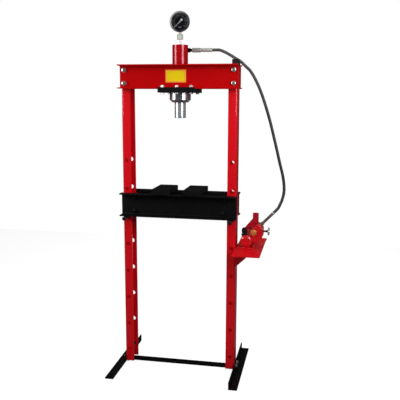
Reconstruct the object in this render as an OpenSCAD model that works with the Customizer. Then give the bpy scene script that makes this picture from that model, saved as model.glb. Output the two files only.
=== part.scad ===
// Hydraulic shop press, about 20 tonnes, with a hand pump on the right-hand post.
// X runs across the front, Y runs to the back, Z is up; the origin is on the floor, midway between the posts.

/* [Frame] */
// Width over the outer faces of the two posts
frame_w = 604; // [560:2:700]
// Height of the posts
frame_h = 1611; // [1560:1:1700]
// Height of the posts' lower ends above the floor
post_low = 10; // [0:1:12]
// Depth of a post channel, front to back
post_d = 86; // [80:1:96]
// Width of a post channel's flanges
post_b = 47; // [44:1:56]
// Wall thickness of a post channel
post_t = 6; // [5:0.5:8]
// Inner bend radius of the post channels
post_r = 5; // [3:0.5:6]
// Diameter of the holes for the bed pins
pin_hole_d = 22; // [21.5:0.5:24]
// Height of the lowest pin hole
hole_z = 78; // [70:1:84]
// Distance from one pin hole to the next
hole_pitch = 149; // [140:1:150]
// Distance of the pin holes from the post's outer face
hole_inset = 23.6; // [22:0.2:28]

/* [Head and bed] */
// Depth of the head and bed channels, bottom to top
beam_h = 120; // [110:1:130]
// Width of the head and bed channels' flanges
beam_b = 53; // [48:1:60]
// Wall thickness of the head and bed channels
beam_t = 6; // [5:0.5:8]
// Inner bend radius of the head and bed channels
beam_r = 6; // [4:0.5:8]
// Overhang of the head and bed past the posts, each side
beam_over = 4; // [2:1:10]
// Clearance of the bed on the posts, each side
bed_gap = 1; // [0.5:0.5:3]
// Diameter of the bed pins
pin_d = 20; // [18:0.5:21]
// How far a bed pin stands out past the bed channels
pin_out = 14; // [8:1:20]
// Distance of the bed's tie bolts from the posts' flange edges
tie_inset = 21; // [15:1:40]
// Distance between the bed's upper and lower tie bolts
tie_pitch = 70; // [50:1:80]
// Diameter of the head bolts
head_bolt_d = 12; // [10:1:12]
// Distance between the upper and lower head bolts
head_bolt_pitch = 66; // [55:1:70]
// Distance of the head bolts from the posts' outer faces
head_bolt_inset = 19; // [19:1:26]

/* [Feet] */
// Length of a foot, front to back
foot_l = 526; // [460:2:620]
// Width of a foot's floor flange
foot_w = 45; // [40:1:60]
// Height of a foot's upright flange
foot_h = 38; // [36:1:55]
// Thickness of a foot
foot_t = 5; // [4:0.5:8]
// Height of the crossbar
bar_h = 26; // [20:1:32]
// Depth of the crossbar's floor flange
bar_w = 20; // [16:1:20]
// Thickness of the crossbar
bar_t = 4; // [3:0.5:5]
// Diameter of the foot bolts
foot_bolt_d = 12; // [10:1:14]
// Distance between the two bolts of a foot
foot_bolt_pitch = 42; // [38:1:43]

/* [Press plates] */
// Thickness of a press plate
plate_t = 26; // [16:1:28]
// Length of a press plate, front to back
plate_l = 208; // [190:1:230]
// Width of a press plate
plate_w = 98; // [80:1:110]
// Depth of the V notch in a press plate's right-hand side
plate_notch = 26; // [16:1:32]
// Distance from the ram's axis to the left-hand plate
plate_gap_left = 36; // [32:1:46]
// Distance from the ram's axis to the right-hand plate
plate_gap_right = 32; // [32:1:44]

/* [Cylinder] */
// Outer diameter of the cylinder
cyl_d = 80; // [74:1:82]
// How far the cylinder stands above the head
cyl_up = 98; // [80:1:130]
// Bore of the cylinder
cyl_bore = 62; // [60:0.5:64]
// Diameter of the ram
ram_d = 58; // [54:0.5:58]
// Length of the ram that shows below the collar
ram_out = 79; // [60:1:90]
// Thickness of the mounting plate under the head
mount_t = 20; // [16:1:26]
// Width of the mounting plate
mount_w = 188; // [170:2:220]
// Diameter of the lock collar
collar_d = 109; // [98:1:116]
// Height of the lock collar's straight part
collar_h = 35; // [28:1:40]
// Height of the lock collar's taper
taper_h = 14; // [10:1:18]

/* [Gauge] */
// Outer diameter of the gauge
gauge_d = 104; // [90:1:116]
// Depth of the gauge case
gauge_depth = 34; // [30:1:44]
// Height of the gauge's centre above the cylinder's top
gauge_up = 114; // [112:1:140]

/* [Hose] */
// Outer diameter of the hose
hose_d = 15; // [12:0.5:16]
// Diameter of the hose couplers
coupler_d = 23; // [20:1:26]
// Height of the hose port below the cylinder's top
port_down = 26; // [24:1:32]

/* [Pump] */
// Height of the pump shelf's top face
shelf_z = 680; // [660:1:700]
// Depth of the pump shelf, front to back
shelf_l = 420; // [400:2:440]
// Width of the pump shelf
shelf_w = 140; // [134:1:160]
// Thickness of the pump bracket
shelf_t = 5; // [4:0.5:8]
// Outer diameter of the oil reservoir
tank_d = 64; // [62:1:70]
// Length of the oil reservoir between its end castings
tank_l = 148; // [120:2:160]
// Wall of the oil reservoir
tank_t = 3; // [2:0.5:4]
// Diameter of the pump plunger
plunger_d = 18; // [14:0.5:20]
// Bore of the lever socket
socket_bore = 21; // [18:0.5:23]
// Diameter of the release knob
knob_d = 42; // [30:1:46]

/* [Hidden] */
$fn = 48;
eps = 0.5;
seat_gap = 0.3;
fit_gap = 0.06;
thread_gap = 0.05;

// Frame
post_x = frame_w / 2;
beam_l = frame_w + 2 * beam_over;
head_z = frame_h - beam_h;
hole_count = 8;
bed_hole = 5;
hole_x = post_x - hole_inset;
pin_z = hole_z + bed_hole * hole_pitch - (pin_hole_d - pin_d) / 2 + seat_gap;
pin_chamfer = 2;
bed_z = pin_z + pin_d / 2 + seat_gap;
bed_web_y = post_d / 2 + bed_gap;
pin_l = 2 * (bed_web_y + beam_b + pin_out);
washer_t = 3;
washer_d = 24;
head_bolt_af = 19;
head_bolt_x = post_x - head_bolt_inset;
head_bolt_z = [head_z + (beam_h - head_bolt_pitch) / 2, head_z + (beam_h + head_bolt_pitch) / 2];
head_bolt_seat = post_d / 2 + beam_t + washer_t;
head_nut_seat = post_d / 2 - post_t;
head_nut_h = 10;
tie_x = post_x - post_b - tie_inset;
tie_z = [bed_z + (beam_h - tie_pitch) / 2, bed_z + (beam_h + tie_pitch) / 2];
tie_d = 12;
tie_af = 19;
tie_nut_h = 10;
spacer_d = 24;
plate_corner = 4;
foot_bolt_z = (foot_h + foot_t) / 2;
foot_bolt_af = 19;
foot_nut_h = 10;
foot_bolt_grip = foot_t + post_t + bar_t;
bar_end_x = post_x - post_t;
bar_end_w = post_d - 2 * (post_t + post_r);
label_w = 106;
label_h = 63;
label_t = 1;
label_x = -65;
label_rise = 31;
label_z = head_z + label_rise;

// Mounting plate, cylinder and ram
mount_y = post_d / 2 + beam_b;
mount_z = head_z - mount_t;
lip_t = 5;
lip_h = 7;
mount_bolt_x = [-74, 0, 74];
mount_bolt_y = mount_y - 14;
mount_bolt_d = 10;
mount_bolt_af = 17;
mount_nut_h = 10;
collar_z = mount_z - collar_h;
cyl_top = frame_h + cyl_up;
cyl_cap_t = 15;
chamber_top = cyl_top - cyl_cap_t;
guide_h = 28;
nose_z = collar_z - taper_h - ram_out;
nose_chamfer = 2;
piston_h = 24;
piston_top = chamber_top - 20;
ram_hollow_d = 40;
nose_l = 40;
ram_floor = nose_z + nose_l;
seal_h = 7;
seal_t = 3;
seal_z = piston_top - (piston_h + seal_h) / 2;
spring_d = 30;
spring_wire = 3;
spring_turns = 16;
spring_steps = 14;
port_z = cyl_top - port_down;

// Gauge
gauge_z = cyl_top + gauge_up;
gauge_front = -gauge_depth / 2;
case_t = 2;
bezel_t = 4;
bezel_l = 10;
bezel_lip = 3;
case_d = gauge_d - 2 * bezel_t;
window_t = 2;
window_y = gauge_front + bezel_lip + window_t;
dial_t = 1;
dial_y = window_y + 5;
dial_hole = 6;
needle_y = dial_y - 2;
needle_t = 1;
needle_l = 36;
needle_tail = 12;
needle_rest = 225;
hub_d = 8;
arbor_d = 3;
arbor_l = 12;
movement_y = dial_y + dial_t + 3;
movement_t = 8;
movement_h = 24;
tube_coil_r = 34;
tube_coil_d = 6;
nipple_d = 10;
nipple_thread = 10;
swivel_z = cyl_top + 27;
swivel_h = 28;
swivel_af = 28;
swivel_floor = 6;
swivel_taper = 4;
shank_w = 14;
shank_t = 11;
shank_d = 16;
socket_top_z = gauge_z - case_d / 2 + case_t + 1;

// Hose and its couplers
port_d = 10;
hose_core = 6;
adapter_x = cyl_d / 2 + 13;
adapter_d = 15;
adapter_af = 19;
sleeve_x = adapter_x + 10;
sleeve_l = 55;
sleeve_bore_l = 21;
sleeve_grip_l = 43;
sleeve_tail_d = coupler_d - 6;
grip_count = 18;
grip_cut = 1.6;
ferrule_l = 46;
ferrule_x = sleeve_x + sleeve_l;
ferrule_d = coupler_d - 3;
hose_start = ferrule_x + ferrule_l;
bore_gap = 0.4;

// Hose guide on the right-hand post
guide_back = 34;
guide_lug = 4;
guide_d = 28;
guide_up = 26;
guide_down = 7;
groove_at = [297, -1, 1633];
groove_slope = 31.6;
groove_d = hose_d + 2;
groove_l = 120;
groove_open = 60;

// Pump
pump_x = post_x + 56;
pump_z = shelf_z + 41;
bracket_low = shelf_z - 98;
bracket_y = 50;
gusset_w = 103;
pump_inset = 140;
body_l = 90;
body_front = pump_inset - shelf_l / 2;
body_back = body_front + body_l;
body_nose = 8;
pump_foot_t = 8;
pump_foot_w = 86;
pump_foot_web = 24;
pump_foot_top = shelf_z + pump_foot_t;
tank_back = body_back + tank_l;
spigot_l = 10;
spigot_d = tank_d - 2 * tank_t - 2 * thread_gap;
end_l = 22;
end_back = tank_back + end_l;
filler_y = tank_back - 50;
filler_hole = 12;
filler_d = 20;
pump_bolt_d = 8;
pump_bolt_af = 13;
pump_nut_h = 6.5;
pump_bolt_spread = 66;
pump_bolt_places = [
    for (y = [body_front + 36, body_back - 17, end_back - end_l / 2], s = [-1, 1])
        [pump_x + s * pump_bolt_spread / 2, y]
];
lever_y = body_front + 25;
blade_w = 20;
blade_gap = 1.5;
pivot_x = pump_x + 53;
pivot_z = pump_z + 57;
link_x = pump_x - 11;
link_z = pivot_z - 2;
link_r = 8;
pivot_r = 13;
pin_small = 10;
pin_sink = 1;
pin_reach = 12;
gland_d = 32;
gland_thread_d = 26;
gland_thread_l = 8;
gland_sink = 1;
gland_z = pump_z + tank_d / 2 - gland_sink;
gland_h = 5;
plunger_low = pump_z - 3;
plunger_room = 22;
clevis_d = 29;
clevis_low = 13;
clevis_high = 13;
clevis_chamfer = 6;
clevis_floor = 9.5;
tongue_w = 8;
tongue_r = 25;
tongue_gap = 0.5;
slot_run = 4;
slot_gap = 0.3;
socket_d = 30;
socket_x = pump_x + 46;
socket_top = pump_z + 147;
socket_l = 50;
socket_floor = 6;
block_left = pump_x + 21;
block_right = pump_x + 84;
block_front = body_front + 5;
block_back = body_back - 10;
slot_front = lever_y - blade_w / 2 - blade_gap;
slot_back = lever_y + blade_w / 2 + blade_gap;
pivot_depth = 14;
valve_y = body_front + 58;
valve_z = pump_z + 47;
valve_d = 10;
valve_in = 18;
valve_out = 23;
knob_t = 9;
port_angle = 46;
port_y = body_front + 62;
port_axis = [cos(port_angle), 0, sin(port_angle)];
port_face = [-sin(port_angle), 0, cos(port_angle)];
hose_port = [pump_x + 71, port_y, pump_z + 80];
port_stub_d = 12;
port_stub_l = 10;
fitting_l = 92;
fitting_d = 15;
fitting_af = 18;
fitting_nut_h = 12;
fitting_ring = 8;
plug_x = pump_x + 38;
plug_z = pump_z + 49;
plug_af = 29;
plug_h = 8;
plug_stub_d = 12;
plug_stub_l = 6;

hose_tail = hose_port + fitting_l * port_axis;

// The hose's route, from the upper ferrule's mouth down to the pump's fitting
hose_route = [
    [hose_start, 0, port_z],
    [hose_start + 10, 0, port_z],
    [hose_start + 20, 0, port_z],
    [204, 0, 1682],
    [230, 0, 1672],
    [256, 0, 1658],
    [284, 0, 1641],
    [310, 0, 1625],
    [335, 0, 1602],
    [359, -1, 1579],
    [384, -1, 1539],
    [410, -2, 1485],
    [436, -3, 1415],
    [463, -4, 1329],
    [491, -5, 1223],
    [516, -6, 1123],
    [532, -7, 1062],
    [540, -7, 1014],
    [541, -8, 972],
    [533, -8, 935],
    [524, -8, 912],
    [515, -8, 892],
    hose_tail + 14 * port_axis,
    hose_tail + 7 * port_axis,
    hose_tail
];
hose_sides = 10;
hose_sub = 2;

// ---- Plane shapes ----

// A bar with round ends of different radii, from p to q
module bar2d(p, rp, q, rq) {
    d = norm(q - p);
    a = atan2(q[1] - p[1], q[0] - p[0]);
    b = acos((rp - rq) / d);
    translate(p) circle(r = rp);
    translate(q) circle(r = rq);
    polygon([
        p + rp * [cos(a + b), sin(a + b)],
        p + rp * [cos(a - b), sin(a - b)],
        q + rq * [cos(a - b), sin(a - b)],
        q + rq * [cos(a + b), sin(a + b)]
    ]);
}

// A box from x = 0 to w, centred on y, with its two corners at x = 0 rounded
module web_corners(w, h, r) {
    translate([r, -h / 2]) square([w - r, h]);
    translate([0, r - h / 2]) square([w, h - 2 * r]);
    for (s = [-1, 1])
        translate([r, s * (h / 2 - r)]) circle(r = r);
}

// Section of a bent channel with its web at x = 0 and its flanges towards +x
module channel2d(b, h, t, r) {
    difference() {
        web_corners(b, h, r + t);
        translate([t, 0]) web_corners(b, h - 2 * t, r);
    }
}

// ---- Fasteners ----

// A hexagonal head or nut across flats af, standing on z = 0
module hexagon(af, h) {
    cylinder(d = af / cos(30), h = h, $fn = 6);
}

// A bolt with its head below z = 0 and its shank running up
module bolt(d, l, af, head) {
    translate([0, 0, -head]) hexagon(af, head);
    translate([0, 0, -eps]) cylinder(d = d, h = l + eps);
}

// A ring standing on z = 0
module ring(od, id, h) {
    difference() {
        cylinder(d = od, h = h);
        translate([0, 0, -eps]) cylinder(d = id, h = h + 2 * eps);
    }
}

// A nut with a plain bore
module nut(af, id, h) {
    difference() {
        hexagon(af, h);
        translate([0, 0, -eps]) cylinder(d = id, h = h + 2 * eps);
    }
}

// ---- Frame ----

module post(side) {
    mirror([side < 0 ? 1 : 0, 0, 0])
        difference() {
            translate([post_x, 0, post_low]) rotate([0, 0, 180])
                linear_extrude(frame_h - post_low) channel2d(post_b, post_d, post_t, post_r);
            for (k = [0 : hole_count - 1])
                translate([hole_x, 0, hole_z + k * hole_pitch]) rotate([90, 0, 0])
                    cylinder(d = pin_hole_d, h = post_d + 2 * eps, center = true);
            for (z = head_bolt_z)
                translate([head_bolt_x, 0, z]) rotate([90, 0, 0])
                    cylinder(d = head_bolt_d + 2 * bore_gap, h = post_d + 2 * eps, center = true);
            for (s = [-1, 1])
                translate([post_x + eps, s * foot_bolt_pitch / 2, foot_bolt_z]) rotate([0, -90, 0])
                    cylinder(d = foot_bolt_d + 2 * bore_gap, h = post_t + 2 * eps);
        }
}

module post_left() {
    color("firebrick") post(-1);
}

module post_right() {
    color("firebrick") post(1);
}

// A head or bed channel, its web's inner face at y = web_y and its flanges towards side
module beam(side, web_y, z) {
    translate([0, side * web_y, z + beam_h / 2]) rotate([0, 90, 0]) rotate([0, 0, side * 90])
        linear_extrude(beam_l, center = true) channel2d(beam_b, beam_h, beam_t, beam_r);
}

// The places of the four head bolts on one face
module at_head_bolts() {
    for (x = [-head_bolt_x, head_bolt_x], z = head_bolt_z)
        translate([x, 0, z]) children();
}

module head_beam(side) {
    difference() {
        beam(side, post_d / 2, head_z);
        at_head_bolts() rotate([90, 0, 0])
            cylinder(d = head_bolt_d + 2 * bore_gap, h = 2 * (post_d + beam_t), center = true);
        for (x = mount_bolt_x)
            translate([x, side * mount_bolt_y, head_z - eps])
                cylinder(d = mount_bolt_d + 2 * bore_gap, h = beam_t + 2 * eps);
    }
}

module head_front() {
    color("firebrick") head_beam(-1);
}

module head_rear() {
    color("firebrick") head_beam(1);
}

module head_bolts() {
    color("silver") at_head_bolts() for (s = [-1, 1])
        translate([0, s * head_bolt_seat, 0]) rotate([s * 90, 0, 0])
            bolt(head_bolt_d, head_bolt_seat - head_nut_seat + head_nut_h + 2, head_bolt_af, 10);
}

module head_washers() {
    color("gray") at_head_bolts() for (s = [-1, 1])
        translate([0, s * head_bolt_seat, 0]) rotate([s * 90, 0, 0])
            ring(washer_d, head_bolt_d + 2 * bore_gap, washer_t);
}

module head_nuts() {
    color("silver") at_head_bolts() for (s = [-1, 1])
        translate([0, s * head_nut_seat, 0]) rotate([s * 90, 0, 0]) rotate([0, 0, 30])
            nut(head_bolt_af, head_bolt_d + 2 * thread_gap, head_nut_h);
}

module label_plate() {
    color("gold") translate([label_x, -post_d / 2 - beam_t - label_t, label_z])
        cube([label_w, label_t, label_h]);
}

// ---- Feet ----

module foot(side) {
    mirror([side < 0 ? 1 : 0, 0, 0]) difference() {
        translate([post_x, -foot_l / 2, 0]) union() {
            cube([foot_w, foot_l, foot_t]);
            cube([foot_t, foot_l, foot_h]);
        }
        for (s = [-1, 1])
            translate([post_x - eps, s * foot_bolt_pitch / 2, foot_bolt_z]) rotate([0, 90, 0])
                cylinder(d = foot_bolt_d + 2 * bore_gap, h = foot_t + 2 * eps);
    }
}

module foot_left() {
    color([0.1, 0.1, 0.1]) foot(-1);
}

module foot_right() {
    color([0.1, 0.1, 0.1]) foot(1);
}

module crossbar() {
    color([0.1, 0.1, 0.1]) {
        translate([-bar_end_x, -bar_w / 2, 0]) cube([2 * bar_end_x, bar_w, bar_t]);
        translate([-bar_end_x, -bar_w / 2, 0]) cube([2 * bar_end_x, bar_t, bar_h]);
        for (s = [0, 1]) mirror([s, 0, 0]) difference() {
            translate([bar_end_x - bar_t, -bar_end_w / 2, 0]) cube([bar_t, bar_end_w, foot_h]);
            for (k = [-1, 1])
                translate([bar_end_x - bar_t - eps, k * foot_bolt_pitch / 2, foot_bolt_z]) rotate([0, 90, 0])
                    cylinder(d = foot_bolt_d + 2 * bore_gap, h = bar_t + 2 * eps);
        }
    }
}

// The places of the foot bolts, with z along the bolt towards the middle
module at_foot_bolts(x) {
    for (m = [0, 1], s = [-1, 1]) mirror([m, 0, 0])
        translate([x, s * foot_bolt_pitch / 2, foot_bolt_z]) rotate([0, -90, 0]) children();
}

module foot_bolts() {
    color("silver") at_foot_bolts(post_x + foot_t)
        bolt(foot_bolt_d, foot_bolt_grip + foot_nut_h + 2, foot_bolt_af, 8);
}

module foot_nuts() {
    color("silver") at_foot_bolts(post_x + foot_t - foot_bolt_grip)
        nut(foot_bolt_af, foot_bolt_d + 2 * thread_gap, foot_nut_h);
}

// ---- Bed ----

module at_ties() {
    for (x = [-tie_x, tie_x], z = tie_z)
        translate([x, 0, z]) rotate([-90, 0, 0]) children();
}

module bed_beam(side) {
    color([0.08, 0.08, 0.09]) difference() {
        beam(side, bed_web_y, bed_z);
        at_ties() cylinder(d = tie_d + 2 * bore_gap, h = 2 * (bed_web_y + beam_t + eps), center = true);
    }
}

module bed_front() {
    bed_beam(-1);
}

module bed_rear() {
    bed_beam(1);
}

module bed_spacers() {
    color([0.1, 0.1, 0.1]) at_ties() translate([0, 0, -bed_web_y])
        ring(spacer_d, tie_d + 2 * bore_gap, 2 * bed_web_y);
}

module bed_bolts() {
    color([0.15, 0.15, 0.15]) at_ties() translate([0, 0, -bed_web_y - beam_t])
        bolt(tie_d, 2 * (bed_web_y + beam_t) + tie_nut_h + 2, tie_af, 8);
}

module bed_nuts() {
    color([0.15, 0.15, 0.15]) at_ties() translate([0, 0, bed_web_y + beam_t])
        nut(tie_af, tie_d + 2 * thread_gap, tie_nut_h);
}

module bed_pin(side) {
    color([0.12, 0.12, 0.12]) translate([side * hole_x, pin_l / 2, pin_z]) rotate([90, 0, 0]) {
        cylinder(d1 = pin_d - 2 * pin_chamfer, d2 = pin_d, h = pin_chamfer);
        translate([0, 0, pin_chamfer]) cylinder(d = pin_d, h = pin_l - 2 * pin_chamfer);
        translate([0, 0, pin_l - pin_chamfer])
            cylinder(d1 = pin_d, d2 = pin_d - 2 * pin_chamfer, h = pin_chamfer);
    }
}

module bed_pin_left() {
    bed_pin(-1);
}

module bed_pin_right() {
    bed_pin(1);
}

// A press plate with chamfered corners, its notched side at x
module press_plate(x) {
    color([0.08, 0.08, 0.09]) translate([x, 0, bed_z + beam_h]) linear_extrude(plate_t)
        polygon([
            [0, plate_corner - plate_l / 2],
            [0, -plate_notch],
            [-plate_notch, 0],
            [0, plate_notch],
            [0, plate_l / 2 - plate_corner],
            [-plate_corner, plate_l / 2],
            [plate_corner - plate_w, plate_l / 2],
            [-plate_w, plate_l / 2 - plate_corner],
            [-plate_w, plate_corner - plate_l / 2],
            [plate_corner - plate_w, -plate_l / 2],
            [-plate_corner, -plate_l / 2]
        ]);
}

module press_plate_left() {
    press_plate(-plate_gap_left);
}

module press_plate_right() {
    press_plate(plate_gap_right + plate_w);
}

// ---- Cylinder and ram ----

module at_mount_bolts(z) {
    for (x = mount_bolt_x, s = [-1, 1])
        translate([x, s * mount_bolt_y, z]) children();
}

module ram_mount_plate() {
    color([0.08, 0.08, 0.09]) difference() {
        union() {
            translate([-mount_w / 2, -mount_y - lip_t, mount_z])
                cube([mount_w, 2 * (mount_y + lip_t), mount_t]);
            for (s = [0, 1]) mirror([0, s, 0])
                translate([-mount_w / 2, mount_y, mount_z]) cube([mount_w, lip_t, mount_t + lip_h]);
        }
        translate([0, 0, mount_z - eps]) cylinder(d = cyl_d + 2 * thread_gap, h = mount_t + 2 * eps, $fn = 96);
        at_mount_bolts(mount_z - eps) cylinder(d = mount_bolt_d + 2 * bore_gap, h = mount_t + 2 * eps);
    }
}

module mount_bolts() {
    color("silver") at_mount_bolts(mount_z)
        bolt(mount_bolt_d, mount_t + beam_t + mount_nut_h + 4, mount_bolt_af, 7);
}

module mount_nuts() {
    color("silver") at_mount_bolts(head_z + beam_t)
        nut(mount_bolt_af, mount_bolt_d + 2 * thread_gap, mount_nut_h);
}

module cylinder_tube() {
    color("firebrick") difference() {
        translate([0, 0, collar_z]) cylinder(d = cyl_d, h = cyl_top - collar_z, $fn = 96);
        translate([0, 0, collar_z - eps]) cylinder(d = cyl_bore, h = chamber_top - collar_z + eps, $fn = 96);
        translate([0, 0, chamber_top - eps])
            cylinder(d = nipple_d + 2 * thread_gap, h = cyl_cap_t + 2 * eps);
        translate([0, 0, port_z]) rotate([0, 90, 0]) cylinder(d = port_d + 2 * thread_gap, h = cyl_d);
    }
}

module lock_collar() {
    color("gainsboro") difference() {
        union() {
            translate([0, 0, collar_z]) cylinder(d = collar_d, h = collar_h, $fn = 96);
            translate([0, 0, collar_z - taper_h])
                cylinder(d1 = collar_d - 2 * taper_h, d2 = collar_d, h = taper_h, $fn = 96);
        }
        translate([0, 0, collar_z]) cylinder(d = cyl_d + 2 * thread_gap, h = collar_h + eps, $fn = 96);
        translate([0, 0, collar_z - taper_h - eps]) cylinder(d = ram_d + 1, h = taper_h + 2 * eps, $fn = 96);
    }
}

module ram_guide() {
    color("peru") translate([0, 0, collar_z])
        difference() {
            cylinder(d = cyl_bore - 2 * thread_gap, h = guide_h, $fn = 96);
            translate([0, 0, -eps]) cylinder(d = ram_d + 2 * fit_gap, h = guide_h + 2 * eps, $fn = 96);
        }
}

module ram() {
    color("whitesmoke") difference() {
        union() {
            translate([0, 0, nose_z])
                cylinder(d1 = ram_d - 2 * nose_chamfer, d2 = ram_d, h = nose_chamfer, $fn = 96);
            translate([0, 0, nose_z + nose_chamfer])
                cylinder(d = ram_d, h = piston_top - nose_z - nose_chamfer, $fn = 96);
            translate([0, 0, piston_top - piston_h])
                cylinder(d = cyl_bore - 2 * fit_gap, h = piston_h, $fn = 96);
        }
        translate([0, 0, ram_floor]) cylinder(d = ram_hollow_d, h = piston_top - ram_floor + eps);
        translate([0, 0, seal_z]) ring(cyl_bore + 1, cyl_bore - 2 * seal_t, seal_h);
    }
}

module piston_seal() {
    color([0.1, 0.1, 0.1]) translate([0, 0, seal_z])
        ring(cyl_bore - 2 * fit_gap, cyl_bore - 2 * seal_t + 2 * thread_gap, seal_h);
}

// A tube of round section swept through a list of points
function cross_unit(a, b) = cross(a, b) / norm(cross(a, b));
function heading(pts, i) =
    let (a = pts[max(i - 1, 0)], b = pts[min(i + 1, len(pts) - 1)])
    (b - a) / norm(b - a);
module swept_tube(pts, d, sides, side_hint) {
    n = len(pts);
    rings = [
        for (i = [0 : n - 1])
            let (t = heading(pts, i), u = cross_unit(t, side_hint), v = cross(t, u))
            for (k = [0 : sides - 1])
                pts[i] + d / 2 * (cos(360 * k / sides) * u + sin(360 * k / sides) * v)
    ];
    faces = concat(
        [[for (k = [0 : sides - 1]) k]],
        [[for (k = [0 : sides - 1]) n * sides - 1 - k]],
        [
            for (i = [0 : n - 2], k = [0 : sides - 1])
                let (a = i * sides + k, b = i * sides + (k + 1) % sides)
                each [[a, a + sides, b], [b, a + sides, b + sides]]
        ]
    );
    polyhedron(points = rings, faces = faces, convexity = 6);
}

spring_low = ram_floor + spring_wire / 2 + seat_gap;
spring_rise = chamber_top - spring_wire / 2 - seat_gap - spring_low;
spring_points = [
    for (i = [0 : spring_turns * spring_steps])
        let (a = 360 * i / spring_steps, up = i / (spring_turns * spring_steps))
        [spring_d / 2 * cos(a), spring_d / 2 * sin(a), spring_low + spring_rise * up]
];

module return_spring() {
    color("dimgray") swept_tube(spring_points, spring_wire, 6, [0, 0, 1]);
}

// ---- Gauge ----

module gauge_nipple() {
    color("gainsboro") translate([0, 0, cyl_top - nipple_thread])
        ring(nipple_d, 4, swivel_z + swivel_floor - cyl_top + nipple_thread);
}

module gauge_swivel_nut() {
    color("lightgray") translate([0, 0, swivel_z]) difference() {
        union() {
            hexagon(swivel_af, swivel_h - swivel_taper);
            translate([0, 0, swivel_h - swivel_taper])
                cylinder(d1 = swivel_af, d2 = swivel_af - 6, h = swivel_taper);
        }
        translate([0, 0, -eps]) cylinder(d = nipple_d + 2 * thread_gap, h = swivel_floor + 2 * eps);
        translate([0, 0, swivel_floor]) cylinder(d = shank_d + 2 * thread_gap, h = swivel_h);
    }
}

module gauge_socket() {
    color("tan") {
        translate([0, 0, swivel_z + swivel_floor]) cylinder(d = shank_d, h = swivel_h - swivel_floor);
        translate([-shank_w / 2, -shank_t / 2, swivel_z + swivel_h - eps])
            cube([shank_w, shank_t, socket_top_z - swivel_z - swivel_h + eps]);
    }
}

// Turns what stands on z = 0 so that it faces the front from depth y, centred on the gauge
module facing_front(y) {
    translate([0, y, gauge_z]) rotate([90, 0, 0]) children();
}

module gauge_case() {
    color([0.1, 0.1, 0.1]) difference() {
        facing_front(-gauge_front) cylinder(d = case_d, h = -gauge_front - window_y, $fn = 96);
        facing_front(-gauge_front - case_t) cylinder(d = case_d - 2 * case_t, h = gauge_depth, $fn = 96);
        translate([-shank_w / 2, -shank_t / 2, gauge_z - gauge_d / 2])
            cube([shank_w, shank_t, socket_top_z - gauge_z + gauge_d / 2]);
    }
}

module gauge_bezel() {
    color("dimgray") facing_front(gauge_front + bezel_l) difference() {
        union() {
            cylinder(d = gauge_d, h = bezel_l - 2, $fn = 96);
            translate([0, 0, bezel_l - 2]) cylinder(d1 = gauge_d, d2 = gauge_d - 4, h = 2, $fn = 96);
        }
        translate([0, 0, -eps])
            cylinder(d = case_d + 2 * thread_gap, h = bezel_l - bezel_lip + eps, $fn = 96);
        translate([0, 0, -eps]) cylinder(d = case_d - 2 * bezel_lip, h = bezel_l + 2 * eps, $fn = 96);
    }
}

module gauge_dial() {
    color([0.05, 0.05, 0.06]) facing_front(dial_y + dial_t)
        ring(case_d - 2 * case_t - 2 * thread_gap, dial_hole, dial_t);
}

module gauge_window() {
    color([0.8, 0.9, 1, 0.3]) facing_front(window_y) cylinder(d = case_d, h = window_t, $fn = 96);
}

module gauge_needle() {
    color("white") facing_front(needle_y) {
        cylinder(d = hub_d, h = needle_t + 0.6);
        rotate([0, 0, needle_rest]) linear_extrude(needle_t) {
            polygon([[0, -1.4], [needle_l, -0.4], [needle_l, 0.4], [0, 1.4]]);
            translate([-needle_tail, 0]) circle(d = 5);
            translate([-needle_tail, -1.2]) square([needle_tail, 2.4]);
        }
        translate([0, 0, -arbor_l]) cylinder(d = arbor_d, h = arbor_l + eps);
    }
}

module gauge_movement() {
    color("goldenrod") {
        difference() {
            translate([-10, movement_y, gauge_z - movement_h / 2]) cube([20, movement_t, movement_h]);
            facing_front(movement_y + movement_t - 1)
                cylinder(d = arbor_d + 2 * fit_gap, h = movement_t);
        }
        translate([1 - shank_w / 2, movement_y, socket_top_z])
            cube([shank_w - 2, movement_t, gauge_z - movement_h / 2 - socket_top_z + eps]);
        facing_front(movement_y + movement_t) rotate([0, 0, -90]) rotate_extrude(angle = 250)
            translate([tube_coil_r, 0]) circle(d = tube_coil_d);
    }
}

// ---- Hose ----

module cylinder_adapter() {
    color([0.35, 0.06, 0.07]) translate([0, 0, port_z]) rotate([0, 90, 0]) difference() {
        union() {
            translate([0, 0, cyl_d / 2 - 7]) cylinder(d = port_d, h = 8 + eps);
            translate([0, 0, cyl_d / 2 + 1]) hexagon(adapter_af, adapter_x - cyl_d / 2 - 1);
            translate([0, 0, adapter_x - eps]) cylinder(d = adapter_d, h = sleeve_x + 20 - adapter_x + eps);
        }
        translate([0, 0, cyl_d / 2 - 8]) cylinder(d = hose_core, h = 60);
    }
}

module coupler_sleeve() {
    color("darkgray") translate([sleeve_x, 0, port_z]) rotate([0, 90, 0]) difference() {
        union() {
            cylinder(d = coupler_d, h = sleeve_grip_l);
            translate([0, 0, sleeve_grip_l]) cylinder(d1 = coupler_d, d2 = sleeve_tail_d, h = 3);
            translate([0, 0, sleeve_grip_l + 3 - eps])
                cylinder(d = sleeve_tail_d, h = sleeve_l - sleeve_grip_l - 3 + eps);
        }
        translate([0, 0, -eps]) cylinder(d = adapter_d + 2 * thread_gap, h = sleeve_bore_l + eps);
        cylinder(d = hose_core, h = sleeve_l + eps);
        for (k = [0 : grip_count - 1]) rotate([0, 0, 360 * k / grip_count])
            translate([coupler_d / 2, 0, 6]) cylinder(d = grip_cut, h = 22, $fn = 16);
    }
}

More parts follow.
